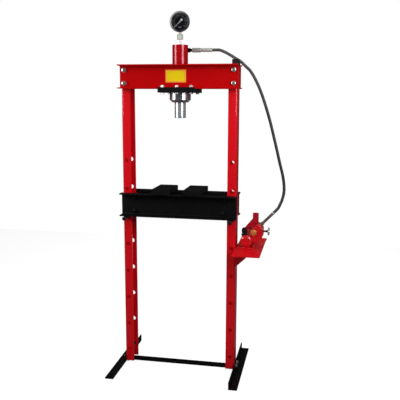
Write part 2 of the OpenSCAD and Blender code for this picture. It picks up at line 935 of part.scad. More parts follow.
module hose_ferrule() {
    color("silver") translate([ferrule_x, 0, port_z]) rotate([0, 90, 0]) difference() {
        union() {
            cylinder(d = ferrule_d, h = ferrule_l - 4);
            translate([0, 0, ferrule_l - 4]) cylinder(d1 = ferrule_d, d2 = hose_d + 3, h = 4);
        }
        translate([0, 0, -eps]) cylinder(d = hose_core, h = ferrule_l + 2 * eps);
        for (k = [0 : 2]) translate([0, 0, 8 + 11 * k]) ring(coupler_d, ferrule_d - 2, 4);
    }
}

// A smooth curve through the route: points s of the way from one to the next
function curve_at(p, i, s) =
    let (
        a = p[max(i - 1, 0)],
        b = p[i],
        c = p[i + 1],
        d = p[min(i + 2, len(p) - 1)]
    )
    0.5 * (2 * b + (c - a) * s + (2 * a - 5 * b + 4 * c - d) * s * s + (3 * b - a - 3 * c + d) * s * s * s);
hose_points = concat(
    [for (i = [0 : len(hose_route) - 2], j = [0 : hose_sub - 1]) curve_at(hose_route, i, j / hose_sub)],
    [hose_route[len(hose_route) - 1]]
);

module hose() {
    color([0.15, 0.15, 0.15]) swept_tube(hose_points, hose_d, hose_sides, [0, 1, 0]);
}

// A saddle that clips over the right-hand post's top edge, with a groove for the hose
module hose_guide() {
    color([0.08, 0.08, 0.09]) difference() {
        translate([post_x - guide_back, -guide_d / 2, frame_h - guide_down])
            cube([guide_back + guide_lug, guide_d, guide_up + guide_down]);
        translate([post_x - guide_back - eps, -guide_d / 2 - eps, frame_h - guide_down - eps])
            cube([guide_back - post_t - guide_lug + eps, guide_d + 2 * eps, guide_down + eps]);
        translate([post_x - post_t, -guide_d / 2 - eps, frame_h - guide_down - eps])
            cube([post_t, guide_d + 2 * eps, guide_down + eps]);
        translate(groove_at) rotate([0, 90 + groove_slope, 0]) linear_extrude(groove_l, center = true) {
            circle(d = groove_d);
            translate([-groove_open, -groove_d / 2]) square([groove_open, groove_d]);
        }
    }
}

module hose_end() {
    color("dimgray") translate(hose_port) rotate([0, 90 - port_angle, 0]) difference() {
        union() {
            translate([0, 0, -port_stub_l]) cylinder(d = port_stub_d, h = port_stub_l + eps);
            hexagon(fitting_af, fitting_nut_h);
            translate([0, 0, fitting_nut_h - eps])
                cylinder(d = fitting_d, h = fitting_l - fitting_nut_h - fitting_ring + eps);
            translate([0, 0, fitting_l - fitting_ring]) cylinder(d = fitting_d + 2, h = fitting_ring);
        }
        translate([0, 0, -port_stub_l - eps]) cylinder(d = hose_core, h = port_stub_l + fitting_l + 2 * eps);
    }
}

// ---- Pump bracket ----

module pump_bracket() {
    color("firebrick") difference() {
        union() {
            translate([post_x, -shelf_l / 2, shelf_z - shelf_t]) cube([shelf_w, shelf_l, shelf_t]);
            translate([post_x, -bracket_y, bracket_low]) cube([shelf_t, 2 * bracket_y, shelf_z - bracket_low]);
            for (y = [-bracket_y, bracket_y - shelf_t]) slab(y, y + shelf_t) polygon([
                [post_x + eps, bracket_low],
                [post_x + shelf_t, bracket_low],
                [post_x + gusset_w, shelf_z - shelf_t + eps],
                [post_x + eps, shelf_z - shelf_t + eps]
            ]);
        }
        for (p = pump_bolt_places) translate([p[0], p[1], shelf_z - shelf_t - eps])
            cylinder(d = pump_bolt_d + 2 * bore_gap, h = shelf_t + 2 * eps);
    }
}

// ---- Pump ----

// Extrudes a plane shape drawn in x and z, from y0 back to y1
module slab(y0, y1) {
    translate([0, y1, 0]) rotate([90, 0, 0]) linear_extrude(y1 - y0) children();
}

// A round bar along y, from y0 back to y1
module bar_y(x, z, d, y0, y1) {
    translate([x, y0, z]) rotate([-90, 0, 0]) cylinder(d = d, h = y1 - y0, $fn = 72);
}

port_high = hose_port + 18 * port_face;
port_low = hose_port - 19 * port_face;

// Outline of the valve block, drawn in x and z
module block2d() {
    polygon([
        [block_left, pump_z],
        [block_left, pivot_z - 10],
        [pivot_x - 16, pivot_z + 12],
        [port_high[0], port_high[2]],
        [port_low[0], port_low[2]],
        [block_right, port_low[2] - 6],
        [block_right, valve_z - 20],
        [block_right - 24, pump_z - 4]
    ]);
}

// Holes for the bolts in the pump's feet
module pump_foot_holes() {
    for (p = pump_bolt_places) translate([p[0], p[1], shelf_z - eps])
        cylinder(d = pump_bolt_d + 2 * bore_gap, h = pump_foot_t + 2 * eps);
}

module pump_foot(y0, y1) {
    translate([pump_x - pump_foot_w / 2, y0, shelf_z]) cube([pump_foot_w, y1 - y0, pump_foot_t]);
    translate([pump_x - pump_foot_web / 2, y0, shelf_z]) cube([pump_foot_web, y1 - y0, pump_z - shelf_z]);
}

module pump_body() {
    color("firebrick") difference() {
        union() {
            bar_y(pump_x, pump_z, tank_d, body_front + body_nose, body_back);
            translate([pump_x, body_front + body_nose, pump_z]) rotate([90, 0, 0])
                cylinder(d1 = tank_d, d2 = tank_d - 20, h = body_nose, $fn = 72);
            bar_y(pump_x, pump_z, spigot_d, body_back - eps, body_back + spigot_l);
            pump_foot(body_front + body_nose, body_back - 2);
            slab(block_front, slot_front) block2d();
            slab(slot_back, block_back) block2d();
            slab(block_front, block_back) polygon([
                [block_left, pump_z],
                [block_left, pump_z + 24],
                [block_right, pump_z + 36],
                [block_right, pump_z + 33],
                [block_right - 24, pump_z - 4]
            ]);
        }
        translate([link_x, lever_y, plunger_low - plunger_room])
            cylinder(d = plunger_d + 2 * fit_gap, h = 100);
        translate([link_x, lever_y, gland_z - gland_thread_l])
            cylinder(d = gland_thread_d + 2 * thread_gap, h = 60);
        translate([link_x, lever_y, gland_z]) cylinder(d = gland_d + 2, h = 60);
        translate([pivot_x, block_front - eps, pivot_z]) rotate([-90, 0, 0])
            cylinder(d = pin_small + 2 * fit_gap, h = slot_back + pivot_depth + 1 - block_front);
        translate([block_right - valve_in - 1, valve_y, valve_z]) rotate([0, 90, 0])
            cylinder(d = valve_d + 2 * fit_gap, h = valve_in + 10);
        translate([plug_x, block_front - eps, plug_z]) rotate([-90, 0, 0])
            cylinder(d = plug_stub_d + 2 * thread_gap, h = plug_stub_l + 1);
        translate(hose_port - (port_stub_l + 1) * port_axis) rotate([0, 90 - port_angle, 0])
            cylinder(d = port_stub_d + 2 * thread_gap, h = port_stub_l + 10);
        pump_foot_holes();
    }
}

module reservoir() {
    color("firebrick") difference() {
        bar_y(pump_x, pump_z, tank_d, body_back, tank_back);
        bar_y(pump_x, pump_z, tank_d - 2 * tank_t, body_back - eps, tank_back + eps);
        translate([pump_x, filler_y, pump_z]) cylinder(d = filler_hole, h = tank_d);
    }
}

module reservoir_end() {
    color("firebrick") difference() {
        union() {
            bar_y(pump_x, pump_z, tank_d, tank_back, end_back - 4);
            translate([pump_x, end_back - 4, pump_z]) rotate([-90, 0, 0])
                cylinder(d1 = tank_d, d2 = tank_d - 10, h = 4, $fn = 72);
            bar_y(pump_x, pump_z, spigot_d, tank_back - spigot_l, tank_back + eps);
            pump_foot(tank_back, end_back - 1);
        }
        pump_foot_holes();
    }
}

module filler_plug() {
    color([0.1, 0.1, 0.1]) translate([pump_x, filler_y, pump_z + tank_d / 2]) {
        cylinder(d = filler_d, h = 6);
        translate([0, 0, -tank_t - 3]) cylinder(d = filler_hole - 2 * thread_gap, h = tank_t + 3 + eps);
        translate([0, 0, 6]) cylinder(d1 = filler_d, d2 = filler_d - 6, h = 4);
    }
}

module pump_bolts() {
    color("silver") for (p = pump_bolt_places) translate([p[0], p[1], pump_foot_top]) rotate([180, 0, 0])
        bolt(pump_bolt_d, pump_foot_t + shelf_t + pump_nut_h + 2, pump_bolt_af, 6);
}

module pump_nuts() {
    color("silver") for (p = pump_bolt_places) translate([p[0], p[1], shelf_z - shelf_t - pump_nut_h])
        nut(pump_bolt_af, pump_bolt_d + 2 * thread_gap, pump_nut_h);
}

module plunger_gland() {
    color([0.08, 0.08, 0.09]) translate([link_x, lever_y, gland_z]) difference() {
        union() {
            translate([0, 0, -gland_thread_l]) cylinder(d = gland_thread_d, h = gland_thread_l + eps);
            cylinder(d = gland_d, h = gland_h);
        }
        translate([0, 0, -gland_thread_l - eps]) cylinder(d = plunger_d + 2 * fit_gap, h = 60);
    }
}

module plunger() {
    color([0.1, 0.1, 0.1]) difference() {
        translate([link_x, lever_y, 0]) union() {
            translate([0, 0, plunger_low]) cylinder(d = plunger_d, h = link_z - clevis_low - plunger_low + eps);
            translate([0, 0, link_z - clevis_low])
                cylinder(d = clevis_d, h = clevis_low + clevis_high - clevis_chamfer);
            translate([0, 0, link_z + clevis_high - clevis_chamfer])
                cylinder(d1 = clevis_d, d2 = clevis_d - 2 * clevis_chamfer, h = clevis_chamfer);
        }
        translate([link_x - clevis_d, lever_y - tongue_w / 2 - tongue_gap, link_z - clevis_floor])
            cube([2 * clevis_d, tongue_w + 2 * tongue_gap, clevis_floor + clevis_high + eps]);
        slab(lever_y - clevis_d, lever_y + clevis_d)
            bar2d(
                [link_x - slot_run, link_z], pin_small / 2 + slot_gap,
                [link_x + slot_run, link_z], pin_small / 2 + slot_gap
            );
    }
}

module pump_lever() {
    color("firebrick") difference() {
        union() {
            slab(lever_y - blade_w / 2, lever_y + blade_w / 2) {
                bar2d([link_x, link_z], link_r, [socket_x - 2, socket_top - 30], 11);
                bar2d([pivot_x, pivot_z], pivot_r, [socket_x, socket_top - 40], pivot_r);
                polygon([
                    [link_x + 24, link_z + 26],
                    [pivot_x, pivot_z + 10],
                    [socket_x, socket_top - 40]
                ]);
            }
            translate([socket_x, lever_y, socket_top - socket_l]) cylinder(d = socket_d, h = socket_l);
        }
        translate([socket_x, lever_y, socket_top - socket_l + socket_floor])
            cylinder(d = socket_bore, h = socket_l);
        for (y = [lever_y - blade_w, lever_y + tongue_w / 2])
            slab(y, y + blade_w - tongue_w / 2) translate([link_x, link_z]) circle(r = tongue_r);
        bar_y(pivot_x, pivot_z, pin_small + 2 * fit_gap, lever_y - blade_w, lever_y + blade_w);
        bar_y(link_x, link_z, pin_small + 2 * thread_gap, lever_y - blade_w, lever_y + blade_w);
    }
}

module pivot_pin() {
    color("firebrick")
        bar_y(pivot_x, pivot_z, pin_small, block_front + pin_sink, slot_back + pivot_depth);
}

module link_pin() {
    color([0.1, 0.1, 0.1]) bar_y(link_x, link_z, pin_small, lever_y - pin_reach, lever_y + pin_reach);
}

module release_valve() {
    color("lightgray") translate([block_right, valve_y, valve_z]) rotate([0, 90, 0]) {
        translate([0, 0, -valve_in]) cylinder(d = valve_d, h = valve_in + valve_out);
        translate([0, 0, valve_out - 1]) cylinder(d = knob_d, h = knob_t);
    }
}

module relief_plug() {
    color("gold") translate([plug_x, block_front, plug_z]) rotate([90, 0, 0]) {
        hexagon(plug_af, plug_h);
        translate([0, 0, -plug_stub_l]) cylinder(d = plug_stub_d, h = plug_stub_l + eps);
    }
}

post_left();
post_right();
head_front();
head_rear();
head_bolts();
head_washers();
head_nuts();
foot_left();
foot_right();
crossbar();
foot_bolts();
foot_nuts();
label_plate();
bed_front();
bed_rear();
bed_spacers();
bed_bolts();
bed_nuts();
bed_pin_left();
bed_pin_right();
press_plate_left();
press_plate_right();
ram_mount_plate();
mount_bolts();
mount_nuts();
cylinder_tube();
lock_collar();
ram_guide();
ram();
piston_seal();
return_spring();
gauge_nipple();
gauge_swivel_nut();
gauge_socket();
gauge_case();
gauge_bezel();
gauge_dial();
gauge_window();
gauge_needle();
gauge_movement();
cylinder_adapter();
coupler_sleeve();
hose_ferrule();
hose();
hose_guide();
hose_end();
pump_bracket();
pump_body();
reservoir();
reservoir_end();
filler_plug();
pump_bolts();
pump_nuts();
plunger_gland();
plunger();
pump_lever();
pivot_pin();
link_pin();
release_valve();
relief_plug();
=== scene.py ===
import math
from collections import namedtuple

import bmesh
import bpy
from mathutils import Matrix, Vector


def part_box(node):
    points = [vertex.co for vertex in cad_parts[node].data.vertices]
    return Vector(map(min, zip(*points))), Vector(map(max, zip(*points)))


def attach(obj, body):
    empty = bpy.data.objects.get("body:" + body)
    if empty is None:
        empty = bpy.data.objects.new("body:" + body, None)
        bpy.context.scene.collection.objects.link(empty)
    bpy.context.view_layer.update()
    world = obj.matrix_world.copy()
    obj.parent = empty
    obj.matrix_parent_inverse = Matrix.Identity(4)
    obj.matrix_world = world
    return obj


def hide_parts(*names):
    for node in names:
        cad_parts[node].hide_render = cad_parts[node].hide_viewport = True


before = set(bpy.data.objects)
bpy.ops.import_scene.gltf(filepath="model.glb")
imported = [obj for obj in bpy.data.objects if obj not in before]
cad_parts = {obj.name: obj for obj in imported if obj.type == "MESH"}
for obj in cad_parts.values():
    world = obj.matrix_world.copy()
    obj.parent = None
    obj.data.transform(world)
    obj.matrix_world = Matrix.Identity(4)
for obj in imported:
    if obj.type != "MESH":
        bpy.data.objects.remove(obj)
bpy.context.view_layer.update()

MM = 0.001
X, Y, Z = Vector((1, 0, 0)), Vector((0, 1, 0)), Vector((0, 0, 1))

# Places and sizes shared with the part's source, in millimetres
POST_X = 302
HEAD_BOLT_X, HEAD_BOLT_ZS = 283, (1518, 1584)
HEAD_WASHER_SEAT, HEAD_NUT_SEAT = 49, 37
HEAD_WASHER_D, HEAD_WASHER_BORE, HEAD_WASHER_T = 24, 13, 3
FOOT_BOLT_YS, FOOT_BOLT_Z = (-21, 21), 21.5
FOOT_BOLT_SEAT, FOOT_NUT_SEAT = 307, 292
BED_Z = 832.6
TIE_X, TIE_ZS, TIE_SEAT, TIE_D = 234, (BED_Z + 25, BED_Z + 95), 50, 12
MOUNT_BOLT_XS, MOUNT_BOLT_Y = (-74, 0, 74), 82
MOUNT_BOLT_SEAT, MOUNT_NUT_SEAT = 1471, 1497
SHELF_Z, SHELF_T, BRACKET_LOW, BRACKET_Y = 680, 5, 582, 50
PUMP_X, PUMP_Z = 358, 721
PUMP_BOLT_X, PUMP_BOLT_YS, PUMP_FOOT_T = 33, (-34, 3, 179), 8
RELEASE_VALVE = (PUMP_X + 84, -12, PUMP_Z + 47)
RELIEF_PLUG = (PUMP_X + 38, -65, PUMP_Z + 49)
FILLER_PLUG = (PUMP_X, 118, PUMP_Z + 32)
GAUGE_Z, GAUGE_REAR, RING_REAR, DIAL_Y, NEEDLE_Y = 1823, 17, -7, -7, -9
PORT_Z = 1683
COUPLER_X, FERRULE_X = 63, 118
HOSE_D = 15
HOSE_PORT = Vector((429, -8, 801))
PORT_AXIS = Vector((math.cos(math.radians(46)), 0, math.sin(math.radians(46))))
HOSE_END_L = 92
HOSE_TAIL = HOSE_PORT + HOSE_END_L * PORT_AXIS

# A size of bolt: width across the flats, height of its head and of its nut, thread diameter
Bolt = namedtuple("Bolt", "across head nut thread")
M12 = Bolt(19, 10, 10, 12)
M10 = Bolt(17, 7, 10, 10)
M8 = Bolt(13, 5.3, 6.5, 8)


def point(*mm):
    """A place given in millimetres."""
    return Vector(mm) * MM


def shift(*mm):
    """The matrix that moves by millimetres."""
    return Matrix.Translation(point(*mm))


# ---- Camera ----

def make_camera():
    """The camera before the object, to its right and looking a little down."""
    data = bpy.data.cameras.new("camera")
    data.lens, data.sensor_width = 54.93, 36
    cam = bpy.data.objects.new("camera", data)
    bpy.context.scene.collection.objects.link(cam)
    place = (0.7038, -3.1008, 1.4480)
    heading, tilt, roll = 10.93, 90 - 9.54, 0.2
    cam.matrix_world = (
        Matrix.Translation(place)
        @ Matrix.Rotation(math.radians(heading), 4, "Z")
        @ Matrix.Rotation(math.radians(tilt), 4, "X")
        @ Matrix.Rotation(math.radians(roll), 4, "Z")
    )
    bpy.context.scene.camera = cam


# ---- Shader nodes ----

def clear_tree(owner):
    """The emptied node tree of a material or world."""
    owner.use_nodes = True
    owner.node_tree.nodes.clear()
    return owner.node_tree


def maths(tree, kind, a, b=0.0):
    """The result of a math node on two numbers or sockets."""
    node = tree.nodes.new("ShaderNodeMath")
    node.operation = kind
    for socket, value in zip(node.inputs, (a, b)):
        if isinstance(value, (int, float)):
            socket.default_value = value
        else:
            tree.links.new(value, socket)
    return node.outputs["Value"]


def ramp(tree, fac, start, end, low, high):
    """fac from start to end becomes a value from low to high."""
    node = tree.nodes.new("ShaderNodeMapRange")
    for socket, value in (
        ("From Min", start), ("From Max", end), ("To Min", low), ("To Max", high),
    ):
        node.inputs[socket].default_value = value
    tree.links.new(fac, node.inputs["Value"])
    return node.outputs["Result"]


def coordinate(tree, kind):
    return tree.nodes.new("ShaderNodeTexCoord").outputs[kind]


def one_axis(tree, place, letter):
    """The X, Y or Z of a place."""
    split = tree.nodes.new("ShaderNodeSeparateXYZ")
    tree.links.new(place, split.inputs["Vector"])
    return split.outputs[letter]


# ---- Finishes ----

# The values that most of a noise pattern lies between
NOISE_LOW, NOISE_HIGH = 0.3, 0.7


class Finish:
    """A material under construction: one main shader and the nodes that pattern it."""

    def __init__(
        self, name, colour, rough=0.5, metal=0.0, specular=0.5, coat=0.0, coat_rough=0.03,
    ):
        self.mat = bpy.data.materials.new(name)
        self.tree = clear_tree(self.mat)
        out = self.tree.nodes.new("ShaderNodeOutputMaterial")
        self.shader = self.tree.nodes.new("ShaderNodeBsdfPrincipled")
        self.tree.links.new(self.shader.outputs["BSDF"], out.inputs["Surface"])
        self.colour = colour
        for socket, value in (
            ("Base Color", (*colour, 1)), ("Roughness", rough), ("Metallic", metal),
            ("Specular IOR Level", specular), ("Coat Weight", coat),
            ("Coat Roughness", coat_rough),
        ):
            self.shader.inputs[socket].default_value = value
        self.place = coordinate(self.tree, "Object")
        self.height = None

    def noise(self, scale, detail=3.0, stretch=(1, 1, 1)):
        """A noise pattern with scale cells to the metre, drawn out along an axis by stretch."""
        mapping = self.tree.nodes.new("ShaderNodeMapping")
        mapping.inputs["Scale"].default_value = stretch
        self.tree.links.new(self.place, mapping.inputs["Vector"])
        node = self.tree.nodes.new("ShaderNodeTexNoise")
        node.inputs["Scale"].default_value = scale
        node.inputs["Detail"].default_value = detail
        node.inputs["Roughness"].default_value = 0.55
        self.tree.links.new(mapping.outputs["Vector"], node.inputs["Vector"])
        return node.outputs["Fac"]

    def maths(self, kind, a, b=0.0):
        return maths(self.tree, kind, a, b)

    def axis(self, letter):
        """The object coordinate along one axis, in metres."""
        return one_axis(self.tree, self.place, letter)

    def tint(self, fac, colour, low=0.0, high=1.0, start=NOISE_LOW, end=NOISE_HIGH):
        """Mixes colour into the base colour, by low where fac is start and by high at end."""
        mix = self.tree.nodes.new("ShaderNodeMix")
        mix.data_type = "RGBA"
        base = self.shader.inputs["Base Color"]
        if base.is_linked:
            self.tree.links.new(base.links[0].from_socket, mix.inputs["A"])
        else:
            mix.inputs["A"].default_value = (*self.colour, 1)
        mix.inputs["B"].default_value = (*colour, 1)
        self.tree.links.new(ramp(self.tree, fac, start, end, low, high), mix.inputs["Factor"])
        self.tree.links.new(mix.outputs["Result"], base)
        return self

    def rough(self, fac, low, high):
        """Lets the roughness drift between low and high."""
        drift = ramp(self.tree, fac, NOISE_LOW, NOISE_HIGH, low, high)
        self.tree.links.new(drift, self.shader.inputs["Roughness"])
        return self

    def relief(self, fac, distance):
        """Adds a bump of that height in metres to the normal."""
        node = self.tree.nodes.new("ShaderNodeBump")
        node.inputs["Distance"].default_value = distance
        node.inputs["Strength"].default_value = 1.0
        self.tree.links.new(fac, node.inputs["Height"])
        if self.height is not None:
            self.tree.links.new(self.height, node.inputs["Normal"])
        self.height = node.outputs["Normal"]
        self.tree.links.new(self.height, self.shader.inputs["Normal"])
        return self


def enamel(name, colour, deep, rough, coat, specular=0.5, peel=0.00006):
    """Sprayed enamel: orange peel, a slight drift of the colour and a clear gloss."""
    f = Finish(name, colour, rough, specular=specular, coat=coat, coat_rough=0.05)
    f.tint(f.noise(5, 4), deep, 0.0, 0.35, 0.35, 0.75)
    f.rough(f.noise(45, 3), rough - 0.04, rough + 0.08)
    f.relief(f.noise(260, 2), peel)
    return f


def plated(name, colour, rough, cloud, metal=1.0):
    """Zinc, nickel or brass with faint clouding."""
    f = Finish(name, colour, rough, metal=metal)
    f.tint(f.noise(90, 4), cloud, 0.0, 0.6)
    f.rough(f.noise(160, 3), rough * 0.7, rough * 1.4)
    f.relief(f.noise(900, 2), 0.00002)
    return f


def turned_metal(name, colour, rough, axis, ring=1500, metal=1.0, depth=0.000012):
    """Metal with the fine rings of a lathe across its axis."""
    drawn_out = 0.012
    stretch = tuple(1.0 if abs(a) > 0.5 else drawn_out for a in axis)
    f = Finish(name, colour, rough, metal=metal)
    rings = f.noise(ring, 2, stretch)
    f.rough(rings, rough * 0.7, rough * 1.5)
    f.relief(rings, depth)
    f.tint(f.noise(60, 3), tuple(c * 0.8 for c in colour), 0.0, 0.5)
    return f


# Reds: the posts are bright, the head deeper as painted shade, and the cylinder deepest and
# glossy
RED = (0.60, 0.003, 0.008)
DEEP_RED = (0.44, 0.0015, 0.004)
post_enamel = enamel("post_enamel", (0.70, 0.003, 0.009), RED, 0.38, 0.75, 0.12)
post_enamel.shader.inputs["Coat Tint"].default_value = (1.0, 0.9, 0.95, 1)
# Painted shade: the head's red is painted deeper than the posts' to stand for the shade on the
# head
head_enamel = enamel(
    "head_enamel", (0.47, 0.001, 0.002), (0.38, 0.001, 0.001), 0.36, 0.22, 0.12
)
head_enamel.shader.inputs["Specular Tint"].default_value = (1.0, 0.3, 0.35, 1)
gloss_enamel = enamel(
    "gloss_enamel", (0.38, 0.001, 0.005), (0.32, 0.001, 0.004), 0.16, 0.5, 0.5
)
gloss_enamel.shader.inputs["Specular Tint"].default_value = (1.0, 0.45, 0.55, 1)
red_casting = enamel("red_casting", RED, DEEP_RED, 0.36, 0.8, 0.3, 0.00012)
red_casting.relief(red_casting.noise(700, 3), 0.00005)
lever_enamel = enamel(
    "lever_enamel", (0.42, 0.002, 0.014), (0.34, 0.001, 0.010), 0.30, 0.9, 0.3, 0.00012
)
# Painted shade: the gussets under the shelf are painted a shade darker than the shelf
bracket_enamel = enamel("bracket_enamel", (0.66, 0.003, 0.008), RED, 0.38, 0.6, 0.2)
bracket_enamel.tint(bracket_enamel.axis("Z"), (0.47, 0.001, 0.003), start=0.676, end=0.668)

# Blacks
black_enamel = enamel(
    "black_enamel", (0.0035, 0.0035, 0.0042), (0.002, 0.002, 0.0025), 0.45, 0.0, 0.22
)
black_oxide = enamel(
    "black_oxide", (0.008, 0.008, 0.009), (0.004, 0.004, 0.004), 0.38, 0.0, 0.5, 0.00003
)
gauge_black = enamel(
    "gauge_black", (0.008, 0.008, 0.009), (0.004, 0.004, 0.005), 0.28, 0.6, peel=0.00002
)
seal_rubber = Finish("seal_rubber", (0.012, 0.012, 0.012), 0.55)
seal_rubber.rough(seal_rubber.noise(200), 0.5, 0.65)
seal_rubber.relief(seal_rubber.noise(800), 0.00002)
moulded_black = Finish("moulded_black", (0.008, 0.008, 0.009), 0.5, specular=0.4)
moulded_black.rough(moulded_black.noise(80), 0.42, 0.6)
moulded_black.relief(moulded_black.noise(1100, 2), 0.00003)

# Bare and plated metals
bright_zinc = plated("bright_zinc", (0.80, 0.78, 0.77), 0.34, (0.62, 0.59, 0.57), 0.6)
smooth_zinc = plated("smooth_zinc", (0.72, 0.66, 0.64), 0.22, (0.55, 0.50, 0.48), 0.85)
# Dull zinc for the foot bolts; on the head washers it also stands for the shadow round each bolt
# head, as painted shade
dull_zinc_and_painted_shade = plated("dull_zinc_and_painted_shade", (0.30, 0.29, 0.28), 0.45, (0.2, 0.19, 0.18), 0.6)
hard_chrome = turned_metal("hard_chrome", (0.66, 0.72, 0.78), 0.22, Z, 900, 0.7, 0.000003)
turned_steel = turned_metal("turned_steel", (0.52, 0.56, 0.61), 0.2, Z, metal=0.88)
bronze = turned_metal("bronze", (0.55, 0.36, 0.17), 0.3, Z)
movement_brass = plated("movement_brass", (0.72, 0.53, 0.22), 0.3, (0.55, 0.38, 0.15))
pale_brass = plated("pale_brass", (0.86, 0.74, 0.60), 0.4, (0.76, 0.64, 0.50), 0.3)
yellow_brass = plated("yellow_brass", (0.74, 0.29, 0.07), 0.34, (0.60, 0.22, 0.04), 0.4)
fitting_zinc = plated("fitting_zinc", (0.58, 0.62, 0.56), 0.36, (0.46, 0.49, 0.44), 0.5)
nut_zinc = plated("nut_zinc", (0.62, 0.70, 0.62), 0.42, (0.50, 0.57, 0.50), 0.25)
pale_plate = plated("pale_plate", (0.86, 0.80, 0.78), 0.4, (0.76, 0.70, 0.68), 0.25)
fitting_grey = turned_metal("fitting_grey", (0.42, 0.43, 0.42), 0.34, X, 900, 0.5)
hose_end_grey = plated("hose_end_grey", (0.17, 0.14, 0.13), 0.45, (0.12, 0.10, 0.09), 0.2)
dark_fitting = plated("dark_fitting", (0.10, 0.03, 0.03), 0.35, (0.05, 0.02, 0.02))
spring_wire = plated("spring_wire", (0.32, 0.32, 0.34), 0.35, (0.22, 0.2, 0.18))

# The gauge's dial
dial_black = Finish("dial_black", (0.0035, 0.004, 0.007), 0.6, specular=0.3)
dial_black.rough(dial_black.noise(300), 0.55, 0.7)
dial_black.tint(dial_black.noise(30), (0.006, 0.007, 0.012))
dial_print = Finish("dial_print", (0.40, 0.42, 0.45), 0.6)
dial_print.tint(dial_print.noise(500), (0.34, 0.36, 0.39))
dial_grey = Finish("dial_grey", (0.17, 0.175, 0.18), 0.6)
dial_grey.tint(dial_grey.noise(500), (0.14, 0.145, 0.15))
needle_white = Finish("needle_white", (0.93, 0.94, 0.95), 0.45)
needle_white.tint(needle_white.noise(300), (0.88, 0.89, 0.9))


def make_rim_finish():
    """Crimped gauge rim: smoked steel, dark on the right, with painted light making it paler
    towards the left and top.
    """
    f = Finish("smoked_rim", (0.03, 0.03, 0.033), 0.36, metal=0.15)
    f.rough(f.noise(400, 2), 0.3, 0.42)
    f.relief(f.noise(700, 2), 0.00001)
    rise = 0.7
    # Painted light: the rim's colour turns paler towards its left and top
    lit = f.maths("SUBTRACT", f.maths("MULTIPLY", f.axis("Z"), rise), f.axis("X"))
    middle = GAUGE_Z * MM * rise
    f.tint(lit, (0.38, 0.38, 0.39), start=middle - 0.02, end=middle + 0.06)
    return f


def make_label_finish():
    """A bare yellow plate with a warm printed border and a faint unevenness."""
    low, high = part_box("label_plate")
    middle, half = (low + high) / 2, (high - low) / 2
    border, blur = 0.007, 0.0006
    f = Finish("yellow_plate", (0.79, 0.61, 0.002), 0.5, specular=0.12)
    f.tint(f.noise(120, 3), (0.72, 0.53, 0.002), 0.0, 0.5)
    dx = f.maths("ABSOLUTE", f.maths("SUBTRACT", f.axis("X"), middle.x))
    dz = f.maths("ABSOLUTE", f.maths("SUBTRACT", f.axis("Z"), middle.z))
    edge = f.maths(
        "MAXIMUM",
        f.maths("SUBTRACT", dx, half.x - border),
        f.maths("SUBTRACT", dz, half.z - border),
    )
    f.tint(edge, (0.88, 0.32, 0.045), start=-blur, end=blur)
    f.relief(f.noise(500, 2), 0.00001)
    return f


def make_hose_finish():
    """Rubber hose cover with the faint wrap of its cure tape, greyer towards both its ends."""
    f = Finish("hose_cover", (0.022, 0.022, 0.022), 0.42, specular=0.4)
    f.tint(f.axis("Z"), (0.075, 0.074, 0.072), start=1.40, end=1.62)
    f.tint(f.axis("Z"), (0.05, 0.049, 0.048), start=1.02, end=0.92)
    f.rough(f.noise(90), 0.36, 0.5)
    f.relief(f.noise(320, 2, (0.3, 0.3, 1.0)), 0.00012)
    return f


def make_pane():
    """A clear flat pane that lets light through and mirrors a little of the room."""
    mat = bpy.data.materials.new("clear_pane")
    tree = clear_tree(mat)
    out = tree.nodes.new("ShaderNodeOutputMaterial")
    mix = tree.nodes.new("ShaderNodeMixShader")
    clear = tree.nodes.new("ShaderNodeBsdfTransparent")
    gloss = tree.nodes.new("ShaderNodeBsdfGlossy")
    fresnel = tree.nodes.new("ShaderNodeFresnel")
    gloss.inputs["Roughness"].default_value = 0.02
    fresnel.inputs["IOR"].default_value = 1.3
    tree.links.new(fresnel.outputs["Fac"], mix.inputs["Fac"])
    tree.links.new(clear.outputs["BSDF"], mix.inputs[1])
    tree.links.new(gloss.outputs["BSDF"], mix.inputs[2])
    tree.links.new(mix.outputs["Shader"], out.inputs["Surface"])
    return mat


gauge_rim = make_rim_finish()
yellow_plate = make_label_finish()
hose_cover = make_hose_finish()
clear_pane = make_pane()

NODE_FINISHES = {
    post_enamel: ["post_left", "post_right"],
    head_enamel: ["head_front", "head_rear"],
    gloss_enamel: ["cylinder_tube"],
    red_casting: ["reservoir", "pivot_pin"],
    bracket_enamel: ["pump_bracket"],
    black_enamel: [
        "foot_left", "foot_right", "crossbar", "bed_front", "bed_rear", "bed_spacers",
        "press_plate_left", "press_plate_right", "ram_mount_plate",
    ],
    black_oxide: ["bed_pin_left", "bed_pin_right", "plunger_gland", "plunger", "link_pin"],
    yellow_plate: ["label_plate"],
    turned_steel: ["lock_collar"],
    hard_chrome: ["ram"],
    bronze: ["ram_guide"],
    seal_rubber: ["piston_seal"],
    spring_wire: ["return_spring"],
    nut_zinc: ["gauge_swivel_nut"],
    pale_plate: ["gauge_nipple"],
    pale_brass: ["gauge_socket"],
    movement_brass: ["gauge_movement"],
    dark_fitting: ["cylinder_adapter"],
    dial_black: ["gauge_dial"],
    moulded_black: ["hose_guide"],
}


def paint(node, mat):
    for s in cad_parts[node].material_slots:
        s.material = mat


def finish_nodes():
    """Gives every node that stays its finish."""
    for finish, nodes in NODE_FINISHES.items():
        for node in nodes:
            paint(node, finish.mat)
    paint("gauge_window", clear_pane)


# ---- Modelling helpers ----

def along(place, direction, turn=0.0):
    """The matrix that stands a shape's own Z on direction at place, turned by degrees."""
    return (
        Matrix.Translation(place)
        @ direction.normalized().to_track_quat("Z", "Y").to_matrix().to_4x4()
        @ Matrix.Rotation(math.radians(turn), 4, "Z")
    )


def placed(bm, matrix):
    bmesh.ops.transform(bm, matrix=matrix, verts=bm.verts)
    return bm


